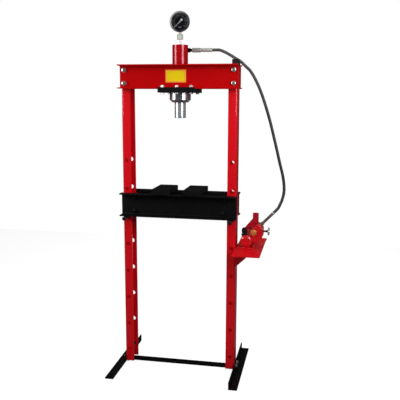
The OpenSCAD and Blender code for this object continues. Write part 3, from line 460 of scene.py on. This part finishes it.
def lathe(profile, steps=48, closed=False):
    """A turned shape about Z from (radius, height) pairs in mm; closed joins last to first."""
    bm = bmesh.new()
    verts = [bm.verts.new((r * MM, 0, h * MM)) for r, h in profile]
    pairs = list(zip(verts, verts[1:])) + ([(verts[-1], verts[0])] if closed else [])
    edges = [bm.edges.new(p) for p in pairs]
    bmesh.ops.spin(
        bm, geom=verts + edges, cent=(0, 0, 0), axis=(0, 0, 1), dvec=(0, 0, 0),
        angle=2 * math.pi, steps=steps, use_merge=True, use_duplicate=False,
    )
    bmesh.ops.remove_doubles(bm, verts=bm.verts, dist=1e-6)
    bmesh.ops.recalc_face_normals(bm, faces=bm.faces)
    return bm


def soften(bm, edges, offset, segments=2):
    """Rounds edges by that many millimetres."""
    bmesh.ops.bevel(
        bm, geom=list(edges), offset=offset * MM, offset_type="OFFSET", segments=segments,
        profile=0.5, affect="EDGES", material=-1,
    )


def block(size, bevel=0.0):
    """A box of that size in millimetres about its centre, its edges rounded by bevel."""
    bm = bmesh.new()
    bmesh.ops.create_cube(bm, size=1, matrix=Matrix.Diagonal((*(s * MM for s in size), 1)))
    if bevel:
        soften(bm, bm.edges, bevel)
    return bm


def hexagon(across, height):
    """A hexagon head or nut standing on Z = 0, its top corners chamfered to a round face."""
    corner = across / 2 / math.cos(math.pi / 6)
    worn, inset, drop = across * 0.02, across * 0.09, across * 0.045
    bm = bmesh.new()
    bmesh.ops.create_cone(
        bm, cap_ends=True, segments=6, radius1=corner * MM, radius2=corner * MM,
        depth=height * MM, matrix=Matrix.Translation((0, 0, height / 2 * MM)),
    )
    upright = [
        e for e in bm.edges
        if abs(e.verts[0].co.z - e.verts[1].co.z) > height / 2 * MM
    ]
    soften(bm, upright, worn, 1)
    top = [f for f in bm.faces if f.normal.z > 0.9]
    bmesh.ops.inset_region(
        bm, faces=top, thickness=inset * MM, depth=0, use_even_offset=True
    )
    rim = {v for f in top for v in f.verts}
    lower = [v for v in bm.verts if v.co.z > height * 0.9 * MM and v not in rim]
    bmesh.ops.translate(bm, verts=lower, vec=(0, 0, -drop * MM))
    return bm


def thread(diameter, length):
    """A threaded end standing on Z = 0, with a chamfered tip."""
    pitch, tip = 1.5, 0.8
    r = diameter / 2
    profile, h = [(0, 0), (r, 0)], 0.0
    while h + pitch < length - tip:
        profile += [(r * 0.9, h + pitch / 2), (r, h + pitch)]
        h += pitch
    profile += [(r * 0.92, length - 0.5), (r * 0.8, length), (0, length)]
    return lathe(profile, 20)


def washer(outer, inner, height):
    """A washer standing on Z = 0, its upper outside edge broken."""
    r, bore = outer / 2, inner / 2
    profile = [(bore, 0), (r, 0), (r, height - 0.4), (r - 0.5, height), (bore, height)]
    return lathe(profile, 28, True)


def ridged(bm, count, low, high, radius, depth):
    """Presses count grooves along a turned shape, between two heights and outside radius."""
    for v in bm.verts:
        h = v.co.z / MM
        if low <= h <= high and v.co.xy.length > radius * MM:
            angle = math.atan2(v.co.y, v.co.x)
            pull = depth * MM * (0.5 + 0.5 * math.cos(count * angle))
            v.co.xy *= 1 - pull / v.co.xy.length
    return bm


def piece(name, parts, finish, body, replaces=(), sharp=32.0):
    """One object from placed shapes, shaded smooth but over edges sharper than sharp degrees."""
    whole = bmesh.new()
    for bm in parts:
        mesh = bpy.data.meshes.new("part")
        bm.to_mesh(mesh)
        whole.from_mesh(mesh)
        bpy.data.meshes.remove(mesh)
        bm.free()
    mesh = bpy.data.meshes.new(name)
    whole.to_mesh(mesh)
    whole.free()
    mesh.polygons.foreach_set("use_smooth", [True] * len(mesh.polygons))
    mesh.set_sharp_from_angle(angle=math.radians(sharp))
    mesh.materials.append(finish.mat)
    obj = bpy.data.objects.new(name, mesh)
    bpy.context.scene.collection.objects.link(obj)
    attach(obj, body)
    if replaces:
        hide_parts(*replaces)
    return obj


# ---- Hose ----

def smooth_route(points, steps):
    """The points of a smooth curve through points, steps to each stretch."""
    fine = []
    for i in range(len(points) - 1):
        p0, p1 = points[max(i - 1, 0)], points[i]
        p2, p3 = points[i + 1], points[min(i + 2, len(points) - 1)]
        for k in range(steps):
            t = k / steps
            fine.append(
                0.5 * (2 * p1 + (p2 - p0) * t + (2 * p0 - 5 * p1 + 4 * p2 - p3) * t * t
                       + (3 * p1 - p0 - 3 * p2 + p3) * t ** 3)
            )
    fine.append(points[-1])
    return fine


def make_hose():
    """The pressure hose, on the route of its solid."""
    route = [
        (164, 0, PORT_Z), (174, 0, PORT_Z), (184, 0, PORT_Z), (204, 0, 1682), (230, 0, 1672),
        (256, 0, 1658), (284, 0, 1641), (310, 0, 1625), (335, 0, 1602), (359, -1, 1579),
        (384, -1, 1539), (410, -2, 1485), (436, -3, 1415), (463, -4, 1329), (491, -5, 1223),
        (516, -6, 1123), (532, -7, 1062), (540, -7, 1014), (541, -8, 972), (533, -8, 935),
        (524, -8, 912), (515, -8, 892),
        HOSE_TAIL + 14 * PORT_AXIS, HOSE_TAIL + 7 * PORT_AXIS, HOSE_TAIL,
    ]
    fine = smooth_route([Vector(p) * MM for p in route], 6)
    data = bpy.data.curves.new("pressure_hose", "CURVE")
    data.dimensions = "3D"
    spline = data.splines.new("POLY")
    spline.points.add(len(fine) - 1)
    for place, p in zip(spline.points, fine):
        place.co = (*p, 1)
    spline.use_smooth = True
    data.bevel_depth = HOSE_D / 2 * MM
    data.bevel_resolution = 6
    data.use_fill_caps = True
    data.materials.append(hose_cover.mat)
    hose = bpy.data.objects.new("pressure_hose", data)
    bpy.context.scene.collection.objects.link(hose)
    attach(hose, "frame")
    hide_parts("hose")
    length = sum((b - a).length for a, b in zip(fine, fine[1:]))
    return hose, fine[0], length


# ---- Fasteners ----

def bolt_head(place, direction, bolt, turn):
    return placed(hexagon(bolt.across, bolt.head), along(place, direction, turn))


def nut_end(place, direction, bolt, turn):
    """A nut standing on place, and the bolt's threaded end proud of it."""
    sunk, proud = 1, 2
    end = place + direction * (bolt.nut - sunk) * MM
    return [
        placed(hexagon(bolt.across, bolt.nut), along(place, direction, turn)),
        placed(thread(bolt.thread, proud + sunk), along(end, direction)),
    ]


def make_head_fasteners():
    heads, washers, nuts = [], [], []
    bolt_seat = HEAD_WASHER_SEAT + HEAD_WASHER_T
    for x in (-HEAD_BOLT_X, HEAD_BOLT_X):
        for i, z in enumerate(HEAD_BOLT_ZS):
            for s in (-1, 1):
                out = Vector((0, s, 0))
                ring = washer(HEAD_WASHER_D, HEAD_WASHER_BORE, HEAD_WASHER_T)
                washers.append(placed(ring, along(point(x, s * HEAD_WASHER_SEAT, z), out)))
                # Each head is left at a turn of its own
                turn = (x * 7 + i * 25 + s * 11) % 60
                heads.append(bolt_head(point(x, s * bolt_seat, z), out, M12, turn))
                nuts += nut_end(point(x, s * HEAD_NUT_SEAT, z), -out, M12, 30)
    piece("head_bolt_heads", heads, smooth_zinc, "frame", ["head_bolts"])
    # Painted shade: the washers take the dark zinc so that they draw a dark ring of shadow round
    # each bolt head
    piece("head_bolt_washers", washers, dull_zinc_and_painted_shade, "frame", ["head_washers"])
    piece("head_bolt_nuts", nuts, bright_zinc, "frame", ["head_nuts"])


def make_foot_fasteners():
    heads, nuts = [], []
    for s in (-1, 1):
        out = Vector((s, 0, 0))
        for y in FOOT_BOLT_YS:
            heads.append(bolt_head(point(s * FOOT_BOLT_SEAT, y, FOOT_BOLT_Z), out, M12, y))
            nuts += nut_end(point(s * FOOT_NUT_SEAT, y, FOOT_BOLT_Z), -out, M12, 12)
    piece("foot_bolt_heads", heads, dull_zinc_and_painted_shade, "frame", ["foot_bolts"])
    piece("foot_bolt_nuts", nuts, dull_zinc_and_painted_shade, "frame", ["foot_nuts"])


def make_bed_fasteners():
    heads, nuts = [], []
    shank = [(0, 0), (TIE_D / 2, 0), (TIE_D / 2, 2 * TIE_SEAT), (0, 2 * TIE_SEAT)]
    for x in (-TIE_X, TIE_X):
        for z in TIE_ZS:
            front = point(x, -TIE_SEAT, z)
            heads.append(bolt_head(front, -Y, M12, 17))
            heads.append(placed(lathe(shank, 24), along(front, Y)))
            nuts += nut_end(point(x, TIE_SEAT, z), Y, M12, 8)
    piece("bed_bolt_heads", heads, black_enamel, "bed", ["bed_bolts"])
    piece("bed_bolt_nuts", nuts, black_enamel, "bed", ["bed_nuts"])


def make_mount_fasteners():
    heads, nuts = [], []
    for x in MOUNT_BOLT_XS:
        for y in (-MOUNT_BOLT_Y, MOUNT_BOLT_Y):
            heads.append(bolt_head(point(x, y, MOUNT_BOLT_SEAT), -Z, M10, x + 10))
            nuts += nut_end(point(x, y, MOUNT_NUT_SEAT), Z, M10, 20 + x)
    piece("mount_bolt_heads", heads, bright_zinc, "frame", ["mount_bolts"])
    piece("mount_bolt_nuts", nuts, bright_zinc, "frame", ["mount_nuts"])


def make_pump_fasteners():
    heads, nuts = [], []
    for y in PUMP_BOLT_YS:
        for x in (PUMP_X - PUMP_BOLT_X, PUMP_X + PUMP_BOLT_X):
            heads.append(bolt_head(point(x, y, SHELF_Z + PUMP_FOOT_T), Z, M8, y))
            nuts += nut_end(point(x, y, SHELF_Z - SHELF_T), -Z, M8, x)
    piece("pump_bolt_heads", heads, red_casting, "frame", ["pump_bolts"])
    piece("pump_bolt_nuts", nuts, bright_zinc, "frame", ["pump_nuts"])


# ---- Gauge ----

# The dial's scale: its start and sweep in degrees, and the radii of its arc and figures
SCALE_START, SCALE_SWEEP, SCALE_R, FIGURE_R = 225, 270, 38, 25.5
PRINT_T, PRINT_Y, FIGURE_Y = 0.3, DIAL_Y - 0.1, DIAL_Y - 0.15


def facing_front(y, turn=0.0):
    """Stands a shape's Z on the front of the gauge at that y, its own X to the right."""
    return (
        shift(0, y, GAUGE_Z)
        @ Matrix.Rotation(math.radians(90), 4, "X")
        @ Matrix.Rotation(math.radians(turn), 4, "Z")
    )


def make_gauge_case():
    rim = [
        (48.3, 0), (50.6, 0.2), (51.6, 1.2), (51.9, 3.0), (51.7, 6.2), (50.8, 8.6),
        (49.4, 9.8), (47.2, 9.9), (45.0, 9.4), (43.2, 8.4), (42.6, 7.4), (42.6, 6.1),
        (48.3, 6.0),
    ]
    ring = placed(lathe(rim, 96, True), facing_front(RING_REAR))
    piece("gauge_ring", [ring], gauge_rim, "frame", ["gauge_bezel"], 50)
    shell = [
        (0, 0), (38, 0), (43, 0.6), (46.2, 2.4), (47.8, 5.4), (48, 8), (48, 20.6),
        (47.2, 21.4), (47.2, 22.6), (48, 23.4), (48, 28.6), (46, 28.8), (46, 4), (0, 2),
    ]
    plug = [(0, -0.2), (7, -0.2), (8, 0.4), (8, 1.5), (0, 1.5)]
    rear = facing_front(GAUGE_REAR)
    case = [placed(lathe(shell, 96), rear), placed(lathe(plug, 32), rear @ shift(0, 24, 0))]
    piece("gauge_shell", case, gauge_black, "frame", ["gauge_case"], 40)


def print_ring(inner, outer):
    """A printed ring standing on Z = 0."""
    return lathe([(inner, 0), (outer, 0), (outer, PRINT_T), (inner, PRINT_T)], 96, True)


def figure(value, x, z):
    """A figure on the dial, centred x to the right and z above the gauge's middle."""
    curve = bpy.data.curves.new("figure", "FONT")
    curve.body, curve.size, curve.extrude = str(value), 5 * MM, 0.12 * MM
    curve.align_x, curve.align_y = "CENTER", "CENTER"
    holder = bpy.data.objects.new("figure", curve)
    bpy.context.scene.collection.objects.link(holder)
    graph = bpy.context.evaluated_depsgraph_get()
    mesh = bpy.data.meshes.new_from_object(holder.evaluated_get(graph))
    bm = bmesh.new()
    bm.from_mesh(mesh)
    bpy.data.objects.remove(holder)
    bpy.data.curves.remove(curve)
    bpy.data.meshes.remove(mesh)
    return placed(bm, facing_front(FIGURE_Y) @ shift(x, z, 0))


def make_dial_print():
    """The scale with its figures and two bars, and the grey band inside it."""
    marks, divisions, figures = [], 40, 6
    arc_end, band_end = -27.5, -21.5
    for i in range(divisions + 1):
        length, wide = (6.5, 1.2) if i % 8 == 0 else (4.0 if i % 4 == 0 else 2.6, 0.6)
        face = facing_front(PRINT_Y, SCALE_START - SCALE_SWEEP * i / divisions)
        tick = block((length, wide, PRINT_T))
        marks.append(placed(tick, face @ shift(SCALE_R - length / 2, 0, 0)))
    arc = print_ring(SCALE_R, SCALE_R + 0.8)
    gap = [f for f in arc.faces if f.calc_center_median().y < arc_end * MM]
    bmesh.ops.delete(arc, geom=gap, context="FACES")
    marks.append(placed(arc, facing_front(DIAL_Y)))
    for i in range(figures):
        angle = math.radians(SCALE_START - SCALE_SWEEP * i / (figures - 1))
        marks.append(figure(i * 5, FIGURE_R * math.cos(angle), FIGURE_R * math.sin(angle)))
    for wide, low in ((19, -25.5), (14, -29.8)):
        bar = block((wide, 2.4, PRINT_T), 0.1)
        marks.append(placed(bar, facing_front(PRINT_Y) @ shift(0, low, 0)))
    piece("dial_marks", marks, dial_print, "frame")

    band = print_ring(28.8, 31.2)
    bmesh.ops.bisect_plane(
        band, geom=band.verts[:] + band.edges[:] + band.faces[:],
        plane_co=point(0, band_end, 0), plane_no=(0, -1, 0), clear_outer=True,
    )
    bmesh.ops.holes_fill(band, edges=[e for e in band.edges if e.is_boundary], sides=0)
    placed(band, facing_front(DIAL_Y))
    piece("dial_band", [band], dial_grey, "frame")


def make_needle():
    """A tapered blade with its tail, round weight, hub and arbor."""
    length, width, thick, taper = 0.037, 0.0034, 0.0008, 0.5
    blade = bmesh.new()
    bmesh.ops.create_grid(blade, x_segments=6, y_segments=1, size=0.5)
    placed(blade, Matrix.Diagonal((length, width, 1, 1)))
    bmesh.ops.translate(blade, verts=blade.verts, vec=(length / 2, 0, 0))
    for v in blade.verts:
        v.co.y *= 1 - taper * max(v.co.x, 0) / length
    bmesh.ops.solidify(blade, geom=blade.faces, thickness=thick)
    tail = placed(block((12, 2.4, 0.8), 0.15), shift(-6, 0, 0.4))
    weight = lathe([(0, 0), (6.5, 0), (6.7, 0.4), (6.5, 0.9), (0, 1.0)], 32)
    placed(weight, shift(-12, 0, 0))
    hub = lathe([(0, 0), (3.0, 0), (3.0, 1.0), (2.4, 1.7), (0, 1.9)], 32)
    arbor = placed(lathe([(0, 0), (1.5, 0), (1.5, 12), (0, 12)], 16), shift(0, 0, -12))
    face = facing_front(NEEDLE_Y, SCALE_START)
    parts = [placed(bm, face) for bm in (blade, tail, weight, hub, arbor)]
    piece("gauge_pointer", parts, needle_white, "needle", ["gauge_needle"])


# ---- Hose fittings ----

def make_coupler():
    """The knurled sleeve and the crimped ferrule at the cylinder's port."""
    sleeve = lathe(
        [
            (3, 0), (10, 0), (11.5, 1.2), (11.5, 5), (11.5, 6), (11.5, 16), (11.5, 26),
            (11.5, 28), (11.5, 30), (10.6, 31), (10.6, 33), (11.5, 34), (11.5, 42),
            (10.8, 43.4), (8.5, 46), (8.5, 54.4), (7.9, 55), (3, 55),
        ],
        108,
    )
    ridged(sleeve, 27, 5.5, 28.5, 11, 1.1)
    placed(sleeve, along(point(COUPLER_X, 0, PORT_Z), X))
    piece(
        "coupler_grip", [sleeve], fitting_grey, "frame",
        ["coupler_sleeve"], 25,
    )
    profile = [(3, 0), (9.2, 0), (10, 0.9)]
    for k in range(3):
        at = 8 + 11 * k
        profile += [(10, at - 1.2), (9, at), (9, at + 4), (10, at + 5.2)]
    profile += [(10, 41.5), (9.6, 43), (8, 46), (3, 46)]
    ferrule = placed(lathe(profile, 48), along(point(FERRULE_X, 0, PORT_Z), X))
    piece(
        "crimp_ferrule", [ferrule], fitting_zinc, "frame",
        ["hose_ferrule"], 30,
    )


def make_hose_end():
    """The fitting at the pump, and the bright ring at its mouth, which it returns."""
    body = [
        (3, 12), (7.5, 12), (7.5, 30), (7.0, 31), (7.0, 33), (7.5, 34), (7.5, 83.5),
        (8.4, 84), (8.5, 85), (8.5, 91), (8.0, HOSE_END_L), (3, HOSE_END_L),
    ]
    stub = [(3, -10), (6, -10), (6, 0.2), (3, 0.2)]
    lower = along(HOSE_PORT * MM, PORT_AXIS)
    parts = [placed(bm, lower) for bm in (lathe(body, 40), lathe(stub, 32), hexagon(18, 12))]
    piece(
        "hose_end_fitting", parts, hose_end_grey, "frame", ["hose_end"], 30,
    )
    ring = lathe([(8.55, 85), (8.9, 85.2), (8.9, 90.4), (8.55, 90.8)], 40, True)
    return piece(
        "hose_end_ring", [placed(ring, lower)], bright_zinc, "frame"
    )


# ---- Pump ----

def casting(node, name, finish, body, voxel, rounds):
    """The node's own shape with worn edges: a new skin of voxel mm, smoothed for rounds."""
    bm = bmesh.new()
    bm.from_mesh(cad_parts[node].data)
    bmesh.ops.remove_doubles(bm, verts=bm.verts, dist=1e-5)
    mesh = bpy.data.meshes.new(name)
    bm.to_mesh(mesh)
    bm.free()
    obj = bpy.data.objects.new(name, mesh)
    bpy.context.scene.collection.objects.link(obj)
    skin = obj.modifiers.new("skin", "REMESH")
    skin.mode, skin.voxel_size = "VOXEL", voxel * MM
    ease = obj.modifiers.new("ease", "SMOOTH")
    ease.factor, ease.iterations = 0.5, rounds
    thin = obj.modifiers.new("thin", "DECIMATE")
    thin.ratio = 0.5
    graph = bpy.context.evaluated_depsgraph_get()
    made = bpy.data.meshes.new_from_object(obj.evaluated_get(graph))
    obj.modifiers.clear()
    obj.data = made
    bpy.data.meshes.remove(mesh)
    made.name = name
    made.materials.clear()
    made.materials.append(finish.mat)
    made.polygons.foreach_set("use_smooth", [True] * len(made.polygons))
    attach(obj, body)
    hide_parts(node)


def make_castings():
    casting("pump_body", "pump_casting", red_casting, "frame", 1.4, 5)
    casting("reservoir_end", "reservoir_cap", red_casting, "frame", 1.4, 5)
    casting("pump_lever", "lever_casting", lever_enamel, "lever", 1.1, 4)


def make_release_valve():
    """The valve's stem and its scalloped knob, on the right of the pump's body."""
    stem = lathe(
        [
            (0, -18), (5, -18), (5, 6), (4.2, 7), (4.2, 9), (5, 10), (6.5, 21.5),
            (6.5, 22.2), (0, 22.2),
        ],
        32,
    )
    knob = lathe(
        [
            (0, 22), (17.5, 22), (20.4, 23.2), (20.9, 25), (20.9, 28), (20.2, 29.8),
            (17.4, 30.9), (13.5, 30.2), (9, 29.2), (0, 29.0),
        ],
        120,
    )
    ridged(knob, 10, 22.5, 30.5, 19, 1.3)
    dimple = lathe([(0, 28.4), (4.4, 28.4), (4.6, 29.6), (3.8, 30.2), (0, 30.3)], 32)
    valve = (
        shift(*RELEASE_VALVE) @ Matrix.Rotation(math.radians(90), 4, "Y")
    )
    piece("release_stem", [placed(stem, valve)], black_oxide, "valve")
    piece(
        "release_knob", [placed(knob, valve), placed(dimple, valve)], bright_zinc, "valve",
        ["release_valve"], 28,
    )


def make_plugs():
    """The brass relief plug on the body's front, and the filler plug on the reservoir."""
    relief = along(point(*RELIEF_PLUG), -Y)
    shank = lathe([(0, -6), (6, -6), (6, 0.5), (0, 0.5)], 24)
    parts = [placed(bm, relief) for bm in (hexagon(29, 7.8), shank)]
    piece("relief_cap", parts, yellow_brass, "frame", ["relief_plug"])
    plug = lathe(
        [
            (0, -5.5), (5.6, -5.5), (5.6, 0), (9.4, 0.1), (10, 0.8), (10, 5.6), (9.2, 6.8),
            (7.2, 9.6), (6.2, 10), (0, 10),
        ],
        60,
    )
    ridged(plug, 15, 0.5, 5.8, 9.8, 0.7)
    placed(plug, along(point(*FILLER_PLUG), Z))
    piece("filler_cap", [plug], seal_rubber, "frame", ["filler_plug"])


# ---- Welds ----

def bead(start, end, side, up, size=4.0):
    """A rippled fillet bead, in the corner between the faces that side and up point along."""
    ripple, steps = 3.0, 4
    # Shares of the bead's own size: its swelling, its thin end, and how far out its middle is
    swelling, tip, proud = 0.13, 0.35, 0.18
    run = (end - start) * MM
    count = max(int(run.length / (ripple * MM / steps)), 8)
    bm = bmesh.new()
    ring = bmesh.ops.create_circle(bm, segments=10, radius=size / 2 * MM, cap_ends=False)
    edges = list({e for v in ring["verts"] for e in v.link_edges})
    for k in range(1, count + 1):
        made = bmesh.ops.extrude_edge_only(bm, edges=edges)["geom"]
        new = [g for g in made if isinstance(g, bmesh.types.BMVert)]
        edges = [
            g for g in made
            if isinstance(g, bmesh.types.BMEdge) and all(v in new for v in g.verts)
        ]
        bmesh.ops.translate(bm, verts=new, vec=(0, 0, run.length / count))
        swell = 1 + swelling * math.cos(2 * math.pi * k / steps)
        if k == count:
            swell *= tip
        middle = Vector((0, 0, run.length / count * k))
        for v in new:
            v.co = middle + (v.co - middle).normalized() * size / 2 * MM * swell
    bmesh.ops.holes_fill(bm, edges=[e for e in bm.edges if e.is_boundary], sides=0)
    bmesh.ops.recalc_face_normals(bm, faces=bm.faces)
    corner = (side + up).normalized() * size * proud * MM
    return placed(bm, along(start * MM + corner, run))


def make_welds():
    """The beads that hold the shelf and its gussets to the right-hand post."""
    under = SHELF_Z - SHELF_T
    low, high = BRACKET_LOW + 2, under - 1
    near, far = POST_X + 6, POST_X + 99
    beads = []
    for s in (-1, 1):
        y, side = s * BRACKET_Y, Vector((0, s, 0))
        beads.append(bead(Vector((POST_X, y, low)), Vector((POST_X, y, high)), side, X))
        beads.append(bead(Vector((near, y, under)), Vector((far, y, under)), side, -Z, 3.4))
    for y, z, side, up in ((49, BRACKET_LOW, -Z, X), (40, SHELF_Z, X, Z)):
        beads.append(bead(Vector((POST_X, -y, z)), Vector((POST_X, y, z)), side, up))
    piece("bracket_welds", beads, red_casting, "frame", sharp=60)


# ---- Room ----

def lamp(name, place, target, size, radiance, mirrored):
    """A soft box that shows in mirrors only if mirrored."""
    wide, high = size
    data = bpy.data.lights.new(name, "AREA")
    data.shape, data.size, data.size_y = "RECTANGLE", wide, high
    data.energy = radiance * math.pi * wide * high
    obj = bpy.data.objects.new(name, data)
    bpy.context.scene.collection.objects.link(obj)
    aim = Vector(target) - Vector(place)
    turn = aim.to_track_quat("-Z", "Y").to_matrix().to_4x4()
    obj.matrix_world = Matrix.Translation(place) @ turn
    obj.visible_camera = False
    obj.visible_glossy = mirrored


def bearing(degrees, distance, height):
    """A place round the object, by degrees to the right of its front."""
    a = math.radians(degrees)
    return (math.sin(a) * distance, -math.cos(a) * distance, height)


def make_lamps():
    """Two boxes that draw the stripes on round and bright parts, and fills for the rest."""
    for name, side in (("right_box", 51), ("left_box", -59)):
        lamp(name, bearing(side, 1.95, 1.85), (0, 0, 1.6), (0.85, 1.1), 8.0, True)
    lamp("front_fill", bearing(8, 2.9, 2.3), (0, 0, 1.5), (1.6, 1.2), 2.5, False)
    lamp("back_fill", bearing(180, 3.2, 2.2), (0, 0, 0.9), (2.4, 1.6), 2.8, False)
    lamp("top_fill", (0, 0, 3.2), (0, 0, 1.0), (2.4, 2.4), 1.7, False)


# Brightness of what is near by in mirrors, of the room as a light, and of the seen floor
DARK_IN_MIRRORS, ROOM_LIGHT, FLOOR_GLOW = 0.03, 0.16, 0.88
FLOOR_GREY, MIRRORED_FLOOR_GREY = (0.22, 0.22, 0.22, 1), (0.06, 0.06, 0.06, 1)


def make_world():
    """Seen, the room is white; mirrored, it is dark but for a patch far behind the object."""
    world = bpy.data.worlds.new("room")
    bpy.context.scene.world = world
    tree = clear_tree(world)
    link = tree.links.new
    out = tree.nodes.new("ShaderNodeOutputWorld")
    back = tree.nodes.new("ShaderNodeBackground")
    rays = tree.nodes.new("ShaderNodeLightPath").outputs
    gloss = tree.nodes.new("ShaderNodeMix")
    final = tree.nodes.new("ShaderNodeMix")
    behind = one_axis(tree, coordinate(tree, "Generated"), "Y")
    edge, core = 0.9935, 0.9995
    link(rays["Is Glossy Ray"], gloss.inputs["Factor"])
    gloss.inputs["A"].default_value = ROOM_LIGHT
    link(ramp(tree, behind, edge, core, DARK_IN_MIRRORS, 1.0), gloss.inputs["B"])
    seen = maths(tree, "MAXIMUM", rays["Is Camera Ray"], rays["Is Transmission Ray"])
    link(seen, final.inputs["Factor"])
    link(gloss.outputs["Result"], final.inputs["A"])
    final.inputs["B"].default_value = 1.0
    link(final.outputs["Result"], back.inputs["Strength"])
    back.inputs["Color"].default_value = (1, 1, 1, 1)
    link(back.outputs["Background"], out.inputs["Surface"])


def make_floor_finish():
    """Seen, the floor is as white as the room; mirrored, dark near by and white far behind."""
    mat = bpy.data.materials.new("pale_floor")
    tree = clear_tree(mat)
    link = tree.links.new
    out = tree.nodes.new("ShaderNodeOutputMaterial")
    both = tree.nodes.new("ShaderNodeAddShader")
    matt = tree.nodes.new("ShaderNodeBsdfDiffuse")
    glow = tree.nodes.new("ShaderNodeEmission")
    rays = tree.nodes.new("ShaderNodeLightPath").outputs
    shade = tree.nodes.new("ShaderNodeMix")
    shade.data_type = "RGBA"
    shade.inputs["A"].default_value = FLOOR_GREY
    shade.inputs["B"].default_value = MIRRORED_FLOOR_GREY
    link(rays["Is Glossy Ray"], shade.inputs["Factor"])
    link(shade.outputs["Result"], matt.inputs["Color"])
    seen = maths(tree, "MAXIMUM", rays["Is Camera Ray"], rays["Is Transmission Ray"])
    behind = one_axis(tree, coordinate(tree, "Object"), "Y")
    dark_to, white_from = 1.8, 3.0
    patch = ramp(tree, behind, dark_to, white_from, DARK_IN_MIRRORS, 1.0)
    mirrored = maths(tree, "MULTIPLY", patch, rays["Is Glossy Ray"])
    level = maths(tree, "MULTIPLY", maths(tree, "MAXIMUM", seen, mirrored), FLOOR_GLOW)
    link(level, glow.inputs["Strength"])
    link(matt.outputs["BSDF"], both.inputs[0])
    link(glow.outputs["Emission"], both.inputs[1])
    link(both.outputs["Shader"], out.inputs["Surface"])
    return mat


def make_floor():
    """A floor just under the feet, so that no face of theirs lies in its plane."""
    half, clearance = 3.0, 0.0005
    bm = bmesh.new()
    bmesh.ops.create_grid(bm, x_segments=1, y_segments=1, size=half)
    mesh = bpy.data.meshes.new("floor")
    bm.to_mesh(mesh)
    bm.free()
    mesh.materials.append(make_floor_finish())
    floor = bpy.data.objects.new("floor", mesh)
    bpy.context.scene.collection.objects.link(floor)
    floor.location.z = -clearance


# ---- Build ----

make_camera()
hose, hose_exit, hose_length = make_hose()
finish_nodes()
make_head_fasteners()
make_foot_fasteners()
make_bed_fasteners()
make_mount_fasteners()
make_pump_fasteners()
make_gauge_case()
make_dial_print()
make_needle()
make_coupler()
hose_ring = make_hose_end()
make_castings()
make_release_valve()
make_plugs()
make_welds()
make_lamps()
make_world()
make_floor()
bpy.context.scene.view_settings.view_transform = "Standard"
